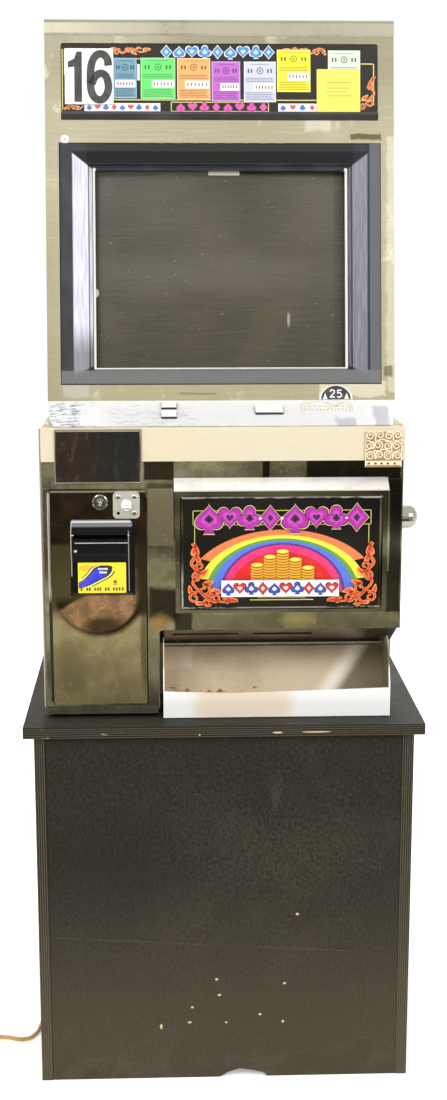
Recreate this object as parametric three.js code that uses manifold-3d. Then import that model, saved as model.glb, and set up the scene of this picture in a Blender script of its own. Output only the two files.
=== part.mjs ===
// A video poker machine on a plywood stand, in millimetres, +Z up, front towards -Y.
import * as THREE from "three";
import { mergeVertices } from "three/addons/utils/BufferGeometryUtils.js";
import loadManifold from "manifold-3d";

const manifold = await loadManifold();
manifold.setup();

// General.
const gap = 0.3; // between pieces that touch
const sheet = 2; // steel sheet of the cabinet
const roundSides = 28;

// Stand.
const standHeight = 532;
const boardThick = 16;
const plyThick = 16;
const standOutset = 17; // stand wider than the cabinet, each side
const boardOverhang = 15; // top board past the stand's sides
const boardLip = 52; // top board in front of the cabinet's face
const boardRear = 46; // top board behind the cabinet
const standRecess = 5; // stand's front behind the top board's edge
const frontPanelSetback = 1;
const backPanelInset = 6; // inside the sides' rear edges
const floorLift = 22; // bottom board above the floor
const chipLeft = -9; // broken notch in the front panel's lower edge
const chipWidth = 73;
const chipHeight = 13;

// Lower cabinet.
const cabinetWidth = 508;
const cabinetDepth = 480;
const lowerHeight = 416;
const footHeight = 4;
const columnWidth = 160; // bill column at the left of the door
const recessHeight = 124; // tray recess under the door's right part
const chuteDepth = 95;
const chuteDrop = 42;
const slotDepth = 42; // coin slots in the chute plate, behind the face
const slotRun = 16;
const doorDepth = 22;
const doorGap = 1;

// Deck and upper cabinet.
const deckRun = 65.5;
const deckRise = 30;
const deckTaper = 11;
const upperInset = 5;
const faceLean = THREE.MathUtils.degToRad(9.9);
const faceDepth = 20;
const faceSill = 23.5; // below the monitor bezel
const bezelHeight = 342;
const faceBar = 44.5; // between bezel and marquee glass
const marqueeHeight = 97;
const faceHead = 33; // above the marquee glass
const bezelMargin = 20;
const bezelSide = 49.5;
const bezelHead = 36;
const bezelFoot = 24;
const marqueeMargin = 23;
const tubeDepth = cabinetDepth - 190; // picture tube behind its glass
const deckSheet = 1.5;
const buttonTravel = 3;
const buttonRun = 0.4; // clearance round a cap
const buttonProud = 1; // above the deck when fully pressed
const buttons = [
  { name: "upper_left_button", x: -76, up: 56, width: 22, height: 19 },
  { name: "lower_left_button", x: -76, up: 31, width: 22, height: 19 },
  { name: "wide_button", x: 66, up: 43, width: 40, height: 22 },
];

// Fan in the back of the lower cabinet.
const fanX = -130;
const fanLift = 330; // above the cabinet's underside
const fanHole = 54;
const fanHalf = 60;
const fanDepth = 38;

// Bill door and what is on it.
const billInset = 10.3; // cabinet's left edge to the bill door
const billSill = 16.5;
const billWidth = columnWidth - 26.2;
const billTopGap = 88.5; // below the cabinet's top edge
const billGap = 1.5;
const billFront = 4; // door plate proud of the skin
const billThick = 6;
const billPinRadius = 2.2;
const slotHeight = 7;
const bezelBoxWidth = 86;
const bezelBoxHeight = 107;
const bezelBoxLeft = (billWidth - bezelBoxWidth) / 2 + 4.8; // from the bill door's left edge
const bezelBoxTop = 42; // below the bill door's top edge
const bezelBoxProud = 27;
const lockRadius = 11;
const lockBarrel = 9;
const plugBarrel = 6; // turning plug of the hasp plate
const haspWidth = 37.5;
const haspHeight = 37.7;

// Main lock in the right side wall.
const lockDepth = 46; // behind the cabinet's front plane
const lockHeight = 278;
const knobRadius = 17;
const knobProud = 28;

// Belly panel.
const bellyWidth = cabinetWidth - columnWidth - 49;
const bellyHeight = lowerHeight - recessHeight - 118;
const bellyLift = 29.5; // above the recess edge
const bellyProud = 20;
const bellyRim = 11;
const hoodHeight = 16.5;
const hoodFlare = 1.5; // hood past the frame, each side

// Trim, meter window, strip.
const bandHeight = 48;
const bandProud = 2.5;
const meterWidth = 121;
const meterHeight = 76;
const meterLeft = 18;
const stripWidth = 36;
const ornamentSize = 52;

// Mains lead.
const leadRadius = 3;
const glandZ = 600;
const glandX = -150;
const glandLength = 25;
const coilInner = 27;
const coilOuter = 45;
const coilHeight = 12.3;
const plugLength = 42;

// Worked out.
const faceLength = faceSill + bezelHeight + faceBar + marqueeHeight + faceHead;
const halfWidth = cabinetWidth / 2;
const halfUpper = halfWidth - upperInset;
const boardTop = standHeight + boardThick;
const baseZ = boardTop + footHeight;
const lowerTop = baseZ + lowerHeight;
const deckTop = lowerTop + deckRise;
const recessTop = baseZ + recessHeight;
const meterX = -halfWidth + meterLeft;
const meterZ = lowerTop - 3 - meterHeight;
const shellFront = doorDepth + doorGap;
const columnRight = columnWidth - halfWidth;
const boardDepth = boardLip + cabinetDepth + boardRear + sheet;
const faceY = boardLip - boardDepth / 2; // the cabinet's front plane
const crownZ = deckTop + faceLength * Math.cos(faceLean);
const deckSlope = Math.atan2(deckRise, deckRun);
const deckLength = Math.hypot(deckRise, deckRun);
const fanZ = baseZ + fanLift;

const machine = new THREE.Group();

// Helpers.
function finish(color, roughness, metalness) {
  return new THREE.MeshStandardMaterial({ color, roughness, metalness });
}

const finishes = {
  chrome: finish(0xb9b4a2, 0.14, 1),
  steel: finish(0xa9a492, 0.35, 1),
  bright: finish(0xe4e2dc, 0.12, 1),
  blackWood: finish(0x1f1d17, 0.6, 0),
  charcoal: finish(0x23252b, 0.4, 0),
  screen: finish(0x25221a, 0.15, 0),
  darkGlass: finish(0x14161c, 0.1, 0),
  art: finish(0x201a30, 0.2, 0),
  blackPlastic: finish(0x121213, 0.3, 0),
  yellow: finish(0xf2d21c, 0.4, 0),
  white: finish(0xeeeeea, 0.4, 0),
  gold: finish(0xcdb98c, 0.35, 1),
  grey: finish(0x8a8d8f, 0.5, 0),
  green: finish(0x1f5a34, 0.5, 0),
  rubber: finish(0x161616, 0.8, 0),
  ochre: finish(0x8d6a33, 0.55, 0),
};

function add(parent, name, geometry, material) {
  const mesh = new THREE.Mesh(outward(geometry), finishes[material]);
  mesh.name = name;
  parent.add(mesh);
  return mesh;
}

// A group whose own axes are x along the machine, y up the face and z out of it.
function faceGroup(y, z, lean) {
  const group = new THREE.Group();
  group.position.set(0, y, z);
  group.rotation.x = Math.PI / 2 - lean;
  machine.add(group);
  return group;
}

function box(x0, x1, y0, y1, z0, z1) {
  const geometry = new THREE.BoxGeometry(x1 - x0, y1 - y0, z1 - z0);
  return geometry.translate((x0 + x1) / 2, (y0 + y1) / 2, (z0 + z1) / 2);
}

function outline(points) {
  return new THREE.Shape(points.map(([x, y]) => new THREE.Vector2(x, y)));
}

function rounded(x0, x1, y0, y1, radius) {
  const shape = new THREE.Shape();
  shape.moveTo(x0 + radius, y0);
  shape.lineTo(x1 - radius, y0);
  shape.absarc(x1 - radius, y0 + radius, radius, -Math.PI / 2, 0);
  shape.lineTo(x1, y1 - radius);
  shape.absarc(x1 - radius, y1 - radius, radius, 0, Math.PI / 2);
  shape.lineTo(x0 + radius, y1);
  shape.absarc(x0 + radius, y1 - radius, radius, Math.PI / 2, Math.PI);
  shape.lineTo(x0, y0 + radius);
  shape.absarc(x0 + radius, y0 + radius, radius, Math.PI, Math.PI * 1.5);
  return shape;
}

// A flat shape given thickness along its own z, from z0 to z1.
function slab(shape, z0, z1, curveSegments = 6) {
  const geometry = new THREE.ExtrudeGeometry(shape, {
    depth: z1 - z0,
    bevelEnabled: false,
    curveSegments,
  });
  return geometry.translate(0, 0, z0);
}

// A profile drawn in (y, z) and carried along x.
function alongX(points, x0, x1) {
  const axes = new THREE.Matrix4().makeBasis(
    new THREE.Vector3(0, 1, 0),
    new THREE.Vector3(0, 0, 1),
    new THREE.Vector3(1, 0, 0),
  );
  return slab(outline(points), x0, x1).applyMatrix4(axes);
}

// A turned solid: profile of [radius, height] on the z axis.
function turned(profile, sides = roundSides) {
  const points = profile.map(([radius, height]) => new THREE.Vector2(radius, height));
  return new THREE.LatheGeometry(points, sides).rotateX(Math.PI / 2);
}

function disc(radius, z0, z1, sides = roundSides) {
  return turned([[0, z0], [radius, z0], [radius, z1], [0, z1]], sides);
}

// The same solid with its faces turned to look outwards.
function outward(geometry) {
  const welded = weld(geometry);
  const position = welded.getAttribute("position");
  const index = welded.index.array;
  const [a, b, c] = [new THREE.Vector3(), new THREE.Vector3(), new THREE.Vector3()];
  let volume = 0;
  for (let i = 0; i < index.length; i += 3) {
    a.fromBufferAttribute(position, index[i]);
    b.fromBufferAttribute(position, index[i + 1]);
    c.fromBufferAttribute(position, index[i + 2]);
    volume += a.dot(b.cross(c));
  }
  if (volume < 0) {
    for (let i = 0; i < index.length; i += 3) [index[i], index[i + 1]] = [index[i + 1], index[i]];
  }
  welded.computeVertexNormals();
  return welded;
}

function weld(geometry) {
  const bare = new THREE.BufferGeometry();
  bare.setAttribute("position", geometry.getAttribute("position").clone());
  if (geometry.index) bare.setIndex(geometry.index.clone());
  return mergeVertices(bare, 1e-4);
}

function toSolid(geometry) {
  const closed = outward(geometry);
  return new manifold.Manifold(new manifold.Mesh({
    numProp: 3,
    vertProperties: Float32Array.from(closed.getAttribute("position").array),
    triVerts: Uint32Array.from(closed.index.array),
  }));
}

function toGeometry(solid) {
  const mesh = solid.getMesh();
  const geometry = new THREE.BufferGeometry();
  geometry.setAttribute("position", new THREE.BufferAttribute(mesh.vertProperties.slice(), 3));
  geometry.setIndex(Array.from(mesh.triVerts));
  geometry.computeVertexNormals();
  return geometry;
}

function join(...geometries) {
  return toGeometry(geometries.map(toSolid).reduce((all, next) => all.add(next)));
}

function cut(geometry, ...tools) {
  return toGeometry(tools.map(toSolid).reduce((left, tool) => left.subtract(tool), toSolid(geometry)));
}

// A mitred frame: each profile point is [share of the way from outer to inner, height].
function mitredFrame(outer, inner, profile) {
  const rings = profile.map(([share, height]) => {
    const [left, right, bottom, top] = outer.map((value, i) => value + (inner[i] - value) * share);
    return [[left, bottom, height], [right, bottom, height], [right, top, height], [left, top, height]];
  });
  const positions = rings.flat(2);
  const index = [];
  rings.forEach((ring, r) => {
    const next = (r + 1) % rings.length;
    ring.forEach((corner, c) => {
      const d = (c + 1) % 4;
      index.push(r * 4 + c, r * 4 + d, next * 4 + d);
      index.push(r * 4 + c, next * 4 + d, next * 4 + c);
    });
  });
  const geometry = new THREE.BufferGeometry();
  geometry.setAttribute("position", new THREE.Float32BufferAttribute(positions, 3));
  geometry.setIndex(index);
  geometry.computeVertexNormals();
  return geometry;
}

// Rings of equal point counts skinned into one closed solid.
function loft(rings) {
  const count = rings[0].length;
  const positions = rings.flat(2);
  const index = [];
  for (let r = 0; r + 1 < rings.length; r += 1) {
    for (let c = 0; c < count; c += 1) {
      const d = (c + 1) % count;
      index.push(r * count + c, r * count + d, (r + 1) * count + d);
      index.push(r * count + c, (r + 1) * count + d, (r + 1) * count + c);
    }
  }
  const last = (rings.length - 1) * count;
  for (let c = 1; c + 1 < count; c += 1) {
    index.push(0, c + 1, c);
    index.push(last, last + c, last + c + 1);
  }
  const geometry = new THREE.BufferGeometry();
  geometry.setAttribute("position", new THREE.Float32BufferAttribute(positions, 3));
  geometry.setIndex(index);
  geometry.computeVertexNormals();
  return geometry;
}

// Stand.
function buildStand() {
  const side = halfWidth + standOutset;
  const edge = side + boardOverhang;
  const front = standRecess - boardLip;
  const boardBack = boardDepth - boardLip;
  const back = boardBack - boardOverhang / 2;
  const top = standHeight - gap;
  const inner = side - plyThick - gap;
  const panelFront = front + frontPanelSetback;
  const panelBack = back - plyThick - backPanelInset;
  add(machine, "stand_top_board", box(-edge, edge, -boardLip, boardBack, standHeight, boardTop), "blackWood");
  add(machine, "stand_left_side", box(-side, -side + plyThick, front, back, 0, top), "blackWood");
  add(machine, "stand_right_side", box(side - plyThick, side, front, back, 0, top), "blackWood");
  const chip = [
    [chipLeft, -1],
    [chipLeft + chipWidth, -1],
    [chipLeft + chipWidth * 0.92, chipHeight * 0.45],
    [chipLeft + chipWidth * 0.7, chipHeight * 0.75],
    [chipLeft + chipWidth * 0.42, chipHeight],
    [chipLeft + chipWidth * 0.2, chipHeight * 0.6],
  ];
  const panel = box(-inner, inner, panelFront, panelFront + plyThick, 0, top);
  const chipTool = slab(outline(chip), -plyThick * 2, plyThick * 2)
    .rotateX(Math.PI / 2)
    .translate(0, panelFront, 0);
  add(machine, "stand_front_panel", cut(panel, chipTool), "blackWood");
  const floorFront = panelFront + plyThick + gap;
  const floor = box(-inner, inner, floorFront, panelBack - gap, floorLift, floorLift + plyThick);
  add(machine, "stand_bottom_board", floor, "blackWood");
  add(machine, "stand_back_panel", box(-inner, inner, panelBack, panelBack + plyThick, 0, top), "blackWood");
}

// Lower cabinet.
function buildLowerShell() {
  const backWall = chuteDepth + sheet;
  const sideX = columnRight + sheet;
  const chuteFoot = recessTop - chuteDrop;
  const chuteHead = recessTop - 4;
  const shelfBack = cabinetDepth - 100;
  const rightProfile = [
    [shellFront, chuteHead],
    [chuteDepth, chuteFoot],
    [chuteDepth, baseZ],
    [cabinetDepth, baseZ],
    [cabinetDepth, lowerTop],
    [shellFront, lowerTop],
  ];
  const recessSide = [
    [shellFront, baseZ],
    [backWall, baseZ],
    [backWall, chuteFoot],
    [chuteDepth, chuteFoot],
    [shellFront, chuteHead],
  ];
  const inside = halfWidth - sheet;
  const lockZ = baseZ + lockHeight;
  const lockHole = disc(lockBarrel + gap, -sheet * 3, sheet * 3)
    .rotateY(Math.PI / 2)
    .translate(halfWidth, lockDepth, lockZ);
  const shell = join(
    box(-halfWidth, -inside, shellFront, cabinetDepth, baseZ, lowerTop),
    alongX(rightProfile, inside, halfWidth),
    box(-halfWidth, sideX, shellFront, cabinetDepth, baseZ, baseZ + sheet),
    box(columnRight, halfWidth, chuteDepth, cabinetDepth, baseZ, baseZ + sheet),
    alongX(recessSide, columnRight, sideX),
    box(columnRight + 1, inside + 1, chuteDepth + 0.1, backWall, baseZ + 1, chuteFoot - 3),
    box(columnRight + 1, inside + 1, backWall - 1, shelfBack, recessTop, recessTop + sheet),
    box(columnRight, sideX, chuteDepth, shelfBack, baseZ, recessTop + sheet),
    box(-inside - 1, inside + 1, shellFront + 1, deckRun + 60, lowerTop - sheet, lowerTop),
    box(-inside - 1, inside + 1, cabinetDepth - 60, cabinetDepth - 1, lowerTop - sheet, lowerTop),
  );
  add(machine, "lower_shell", cut(shell, lockHole), "chrome");

  const plate = alongX([
    [shellFront + gap, chuteHead - gap],
    [shellFront + gap, chuteHead - gap - sheet],
    [chuteDepth - gap, chuteFoot - gap - sheet],
    [chuteDepth - gap, chuteFoot - gap],
  ], sideX + gap, inside - gap);
  const slot = (from, to) => box(sideX + from, sideX + to, slotDepth, slotDepth + slotRun, baseZ, lowerTop);
  add(machine, "coin_chute_plate", cut(plate, slot(19, 115), slot(137, 223)), "steel");

  const footX = halfWidth - 40;
  const foot = (name, y) => {
    add(machine, name, box(-footX, footX, y, y + 26, boardTop + gap, baseZ - gap), "rubber");
  };
  foot("front_foot", chuteDepth + 20);
  foot("rear_foot", cabinetDepth - 70);
}

function buildMainLock() {
  const knob = turned([
    [0, -16],
    [lockBarrel, -16],
    [lockBarrel, gap],
    [knobRadius - 2, gap],
    [knobRadius, 2.5],
    [knobRadius, knobProud * 0.5],
    [knobRadius * 0.92, knobProud * 0.71],
    [knobRadius * 0.72, knobProud * 0.87],
    [knobRadius * 0.4, knobProud * 0.97],
    [0, knobProud],
  ]).rotateY(Math.PI / 2);
  const arm = slab(rounded(-7, 7, -7, 30, 6.9), -20, -15.5).rotateZ(Math.PI / 2).rotateY(Math.PI / 2);
  const lock = join(knob, arm).translate(halfWidth, lockDepth, baseZ + lockHeight);
  add(machine, "main_lock", lock, "bright");
  const strikeX = halfWidth - 30;
  const strikeZ = baseZ + lockHeight;
  const strike = box(strikeX, strikeX + 6, sheet + gap, lockDepth + 12, strikeZ - 14, strikeZ + 14);
  add(machine, "door_strike", strike, "steel");
}

// Coin tray.
function buildTray() {
  const left = columnRight + 7;
  const right = halfWidth - 14;
  const wall = 1.5;
  const bottom = boardTop + 1;
  const front = -14;
  const lipHeight = 42;
  const lipSag = 6;
  const back = chuteDepth - 3;
  const backTop = recessTop - chuteDrop - 6.5;
  const side = [
    [front, bottom],
    [front, bottom + lipHeight],
    [12, recessTop - 22],
    [26, recessTop - 18],
    [back, backTop],
    [back, bottom],
  ];
  const lip = [
    [left, bottom],
    [right, bottom],
    [right, bottom + lipHeight],
    [left + (right - left) * 0.6, bottom + lipHeight - lipSag * 0.6],
    [left + (right - left) * 0.27, bottom + lipHeight - lipSag],
    [left, bottom + lipHeight - lipSag * 0.4],
  ];
  const slopeFoot = 24;
  const slope = [
    [back - 0.6, backTop - 0.6],
    [back - 0.6 - wall * 1.3, backTop - 0.6],
    [slopeFoot, bottom + wall],
    [slopeFoot, bottom + 0.2],
    [slopeFoot + 2, bottom + 0.2],
  ];
  const tray = join(
    alongX(side, left, left + wall),
    alongX(side, right - wall, right),
    alongX(slope, left, right),
    box(left, right, front, slopeFoot + 1, bottom, bottom + wall),
    slab(outline(lip), -wall, 0).rotateX(Math.PI / 2).translate(0, front, 0),
  );
  add(machine, "coin_tray", tray, "steel");
}

// Main door.
const door = faceGroup(0, 0, 0);

function buildMainDoor() {
  const fillet = 9;
  const pan = (inset) => {
    const shape = new THREE.Shape();
    const left = -halfWidth + inset;
    const right = halfWidth - inset;
    const low = recessTop + inset;
    const corner = columnRight - inset;
    shape.moveTo(left, baseZ + inset);
    shape.lineTo(corner, baseZ + inset);
    shape.lineTo(corner, low - fillet);
    shape.absarc(corner + fillet, low - fillet, fillet, Math.PI, Math.PI / 2, true);
    shape.lineTo(right, low);
    shape.lineTo(right, lowerTop - inset);
    shape.lineTo(left, lowerTop - inset);
    return shape;
  };
  const billLeft = -halfWidth + billInset;
  const billOpening = box(
    billLeft - billGap,
    billLeft + billWidth + billGap,
    baseZ + billSill - billGap,
    lowerTop - billTopGap + billGap,
    -doorDepth,
    1,
  );
  const belly = bellyBox();
  const window = box(belly.left + 22, belly.right - 22, belly.bottom + 20, belly.top - 20, -doorDepth, 1);
  const meterOpening = box(
    meterX + 8,
    meterX + meterWidth - 8,
    meterZ + 8,
    meterZ + meterHeight - 8,
    -doorDepth,
    1,
  );
  const pocket = slab(pan(sheet), -doorDepth - 1, -sheet);
  const skin = cut(slab(pan(0), -doorDepth, 0), pocket, billOpening, window, meterOpening);
  add(door, "main_door", skin, "chrome");

  const pinRadius = 2.8;
  const pin = disc(pinRadius, baseZ + 4, lowerTop - 4, 16)
    .translate(-halfWidth - pinRadius - gap, shellFront - doorGap / 2, 0);
  add(machine, "main_door_hinge", pin, "steel");
}

function bellyBox() {
  const centre = (columnRight + halfWidth) / 2 + 1;
  const bottom = recessTop + bellyLift;
  return {
    left: centre - bellyWidth / 2,
    right: centre + bellyWidth / 2,
    bottom,
    top: bottom + bellyHeight,
  };
}

function buildBelly() {
  const { left, right, bottom, top } = bellyBox();
  const outer = [left, right, bottom, top];
  const inner = [left + bellyRim, right - bellyRim, bottom + 7.5, top - bellyRim];
  const frame = mitredFrame(outer, inner, [
    [1, gap],
    [1, bellyProud - 5],
    [0.75, bellyProud - 3],
    [0.6, bellyProud],
    [0, bellyProud],
    [0, gap],
  ]);
  add(door, "belly_frame", frame, "chrome");
  const hood = alongX([
    [-gap, top + gap],
    [-gap, top + hoodHeight],
    [-bellyProud, top + gap + 1.5],
    [-bellyProud, top + gap],
  ], left - hoodFlare, right + hoodFlare);
  add(machine, "belly_hood", hood, "bright");
  const [x0, x1, z0, z1] = inner;
  const glass = box(x0 + gap, x1 - gap, z0 + gap, z1 - gap, bellyProud - 10, bellyProud - 6);
  add(door, "belly_glass", glass, "art");
  const lampZ = (bottom + top) / 2;
  const lamp = disc(8, left + 30, right - 30, 16).rotateY(Math.PI / 2).translate(0, shellFront + 4, lampZ);
  add(machine, "belly_lamp", lamp, "white");
}

function buildDoorTrim() {
  const band = cut(
    box(-halfWidth - 1.5, halfWidth + 1.5, lowerTop - bandHeight, lowerTop, gap, bandProud),
    box(meterX - gap, meterX + meterWidth + gap, 0, meterZ + meterHeight + gap, -5, 10),
  );
  add(door, "trim_band", band, "gold");
  const rim = 2.5;
  const outer = [meterX, meterX + meterWidth, meterZ, meterZ + meterHeight];
  const inner = [meterX + rim, meterX + meterWidth - rim, meterZ + rim, meterZ + meterHeight - rim];
  const frame = mitredFrame(outer, inner, [[1, gap], [1, 5], [0.4, 6], [0, 5], [0, gap]]);
  add(door, "meter_window_frame", frame, "chrome");
  const glass = box(inner[0] + gap, inner[1] - gap, inner[2] + gap, inner[3] - gap, 1, 4);
  add(door, "meter_window", glass, "darkGlass");
  const unit = box(
    meterX + 16,
    meterX + meterWidth - 16,
    meterZ + 14,
    meterZ + meterHeight - 14,
    -50,
    -sheet - gap,
  );
  add(door, "meter_unit", unit, "grey");
  const { left } = bellyBox();
  const stripTop = lowerTop - billTopGap + 2;
  const strip = rounded(left - stripWidth - 2.5, left - 2.5, stripTop - 82, stripTop, 2);
  add(door, "lock_strip", slab(strip, gap, 2.2), "bright");
  const right = halfWidth - 3.5;
  const top = lowerTop - 5.5;
  const ornament = rounded(right - ornamentSize, right, top - ornamentSize, top, 3);
  add(door, "corner_ornament", slab(ornament, bandProud + gap, bandProud + 2), "gold");
}

// Bill door.
const billHinge = {
  x: -halfWidth + billInset - gap - billPinRadius,
  out: gap + billPinRadius,
};

function buildBillDoor() {
  const left = -halfWidth + billInset;
  const right = left + billWidth;
  const bottom = baseZ + billSill;
  const top = lowerTop - billTopGap;
  const back = billFront - billThick;
  const noseLeft = left + bezelBoxLeft;
  const noseTop = top - bezelBoxTop;
  const nose = [noseLeft, noseLeft + bezelBoxWidth, noseTop - bezelBoxHeight, noseTop];
  const cutout = box(nose[0] - 2, nose[1] + 3.5, nose[2] - 2, nose[3] + 1.7, -20, 20);
  const lockX = noseLeft + 41.3;
  const lockZ = top - 16.3;
  const lockHole = disc(lockBarrel + gap, -20, 20).translate(lockX, lockZ, 0);
  const plugHole = disc(plugBarrel + gap, -20, 20);
  const haspLeft = right - 8.2 - haspWidth;
  const haspBottom = nose[3] + 2.5;
  const haspX = haspLeft + haspWidth / 2;
  const haspZ = haspBottom + haspHeight / 2;
  plugHole.translate(haspX, haspZ, 0);
  const plate = slab(rounded(left, right, bottom, top, 2), back, billFront);
  add(door, "bill_door", cut(plate, cutout, lockHole, plugHole), "chrome");

  const pin = disc(billPinRadius, bottom + 4, top - 4, 14)
    .rotateX(-Math.PI / 2)
    .translate(billHinge.x, 0, billHinge.out);
  add(door, "bill_door_hinge", pin, "steel");

  const plug = turned([
    [0, back - 8],
    [lockBarrel, back - 8],
    [lockBarrel, billFront + gap],
    [lockRadius, billFront + gap],
    [lockRadius, billFront + 2.4],
    [lockRadius - 1.6, billFront + 3.4],
    [lockBarrel - 3, billFront + 3.4],
    [lockBarrel - 3.4, billFront + 2.6],
    [0, billFront + 2.6],
  ]);
  const arm = slab(rounded(-22, 6, -5, 5, 4.9), back - 11, back - 7.5);
  add(door, "bill_lock", join(plug, arm).translate(lockX, lockZ, 0), "bright");

  const hole = disc(2.4, -5, 20, 12).translate(haspLeft + 7.5, haspBottom + 7.5, 0);
  const bore = disc(plugBarrel + gap, -20, 20).translate(haspX, haspZ, 0);
  const haspPlate = slab(
    rounded(haspLeft, haspLeft + haspWidth, haspBottom, haspBottom + haspHeight, 6),
    billFront + gap,
    billFront + 3.5,
  );
  add(door, "hasp_plate", cut(haspPlate, hole, bore), "bright");
  const haspPlug = turned([
    [0, back - 6],
    [plugBarrel, back - 6],
    [plugBarrel, billFront + 3.5 + gap],
    [8.4, billFront + 3.5 + gap],
    [8.4, billFront + 6.5],
    [7.2, billFront + 7.4],
    [0, billFront + 7.4],
  ]);
  add(door, "hasp_plug", haspPlug.translate(haspX, haspZ, 0), "bright");
  buildAcceptor(nose);
}

function buildAcceptor([left, right, bottom, top]) {
  const height = top - bottom;
  const slotMid = top - 20;
  const profile = [
    [-1.5, bottom],
    [10, bottom],
    [19, bottom + 5],
    [20.5, bottom + height * 0.46],
    [bezelBoxProud, bottom + height * 0.6],
    [bezelBoxProud, top - 13],
    [bezelBoxProud - 3, top - 10.5],
    [14, top - 3],
    [12, top],
    [-1.5, top],
  ];
  const nose = slab(outline(profile), left, right);
  const axes = new THREE.Matrix4().makeBasis(
    new THREE.Vector3(0, 0, 1),
    new THREE.Vector3(0, 1, 0),
    new THREE.Vector3(-1, 0, 0),
  );
  const body = nose.applyMatrix4(axes).translate(left + right, 0, 0);
  const slot = box(left + 4.5, right - 6, slotMid - slotHeight / 2, slotMid + slotHeight / 2, 5, 40);
  add(door, "bill_bezel", cut(body, slot), "blackPlastic");
  const tilt = Math.atan2(1.5, height * 0.46 - 5);
  const labelHeight = 44;
  const label = slab(rounded(left + 9.5, right - 9, 0, labelHeight, 1), gap, 1.1)
    .rotateX(tilt)
    .translate(0, bottom + 5.5, 19.05);
  add(door, "bill_label", label, "yellow");
  const head = join(
    box(left + 2, right - 2, bottom + 4, top - 4, -100, -sheet - gap),
    box(-halfWidth + sheet + gap, columnRight - 6, bottom - 6, top + 9, -sheet - gap - 2, -sheet - gap),
  );
  add(door, "bill_acceptor_head", head, "blackPlastic");
  add(door, "bill_cassette", box(left + 3, right - 3, bottom - 30, top - 2, -190, -100 - gap), "grey");
}

// Button deck.
function buildDeck() {
  const deck = faceGroup(0, lowerTop, Math.PI / 2 - deckSlope);
  const front = halfWidth - upperInset - deckTaper;
  const back = halfUpper;
  const lift = 4.5;
  const top = outline([
    [-front, lift],
    [front, lift],
    [back, deckLength - gap],
    [-back, deckLength - gap],
  ]);
  const holes = buttons.map(({ x, up, width, height }) =>
    slab(rounded(x - width / 2, x + width / 2, up - height / 2, up + height / 2, 1.5), -10, 10));
  const kerb = alongX([
    [gap, lowerTop + gap],
    [deckRun - gap, lowerTop + gap],
    [deckRun - gap, lowerTop + deckRise - 1],
    [gap, lowerTop + gap + 0.4],
  ], -back, back);
  const hollow = alongX([
    [10, lowerTop - 1],
    [deckRun + 1, lowerTop - 1],
    [deckRun + 1, lowerTop + deckRise - 3.2],
    [14, lowerTop + 2.2],
    [10, lowerTop + 1.2],
  ], -front + 2, front - 2);
  const wedge = cut(kerb, hollow);
  const toDeck = new THREE.Matrix4().copy(placeOf(deck)).invert();
  const local = wedge.applyMatrix4(toDeck);
  const plan = slab(top, -40, 40);
  const trimmed = toGeometry(toSolid(join(local, slab(top, -deckSheet, 0))).intersect(toSolid(plan)));
  add(deck, "button_deck", cut(trimmed, ...holes), "bright");
  buttons.forEach(({ name, x, up, width, height }) => {
    const halfCap = width / 2 - buttonRun;
    const halfRise = height / 2 - buttonRun;
    const cap = rounded(x - halfCap, x + halfCap, up - halfRise, up + halfRise, 1.2);
    add(deck, name, slab(cap, -deckSheet - 0.8, buttonTravel + buttonProud), "charcoal");
  });
}

function placeOf(group) {
  group.updateMatrix();
  return group.matrix;
}

// Upper cabinet.
function buildUpperShell() {
  const back = faceDepth + gap;
  const wallFrontY = (z) => deckRun + (z - deckTop) * Math.tan(faceLean) + back / Math.cos(faceLean);
  const topZ = crownZ - 0.5;
  const low = lowerTop + gap;
  const profile = [
    [wallFrontY(low), low],
    [cabinetDepth, low],
    [cabinetDepth, topZ],
    [wallFrontY(topZ), topZ],
  ];
  const inside = [
    [wallFrontY(low) - 20, low - 5],
    [cabinetDepth + 5, low - 5],
    [cabinetDepth + 5, topZ - sheet],
    [wallFrontY(topZ) - 20, topZ - sheet],
  ];
  const hollow = alongX(inside, -halfUpper + sheet, halfUpper - sheet);
  const shell = cut(alongX(profile, -halfUpper, halfUpper), hollow);
  add(machine, "upper_shell", shell, "chrome");
}

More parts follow.
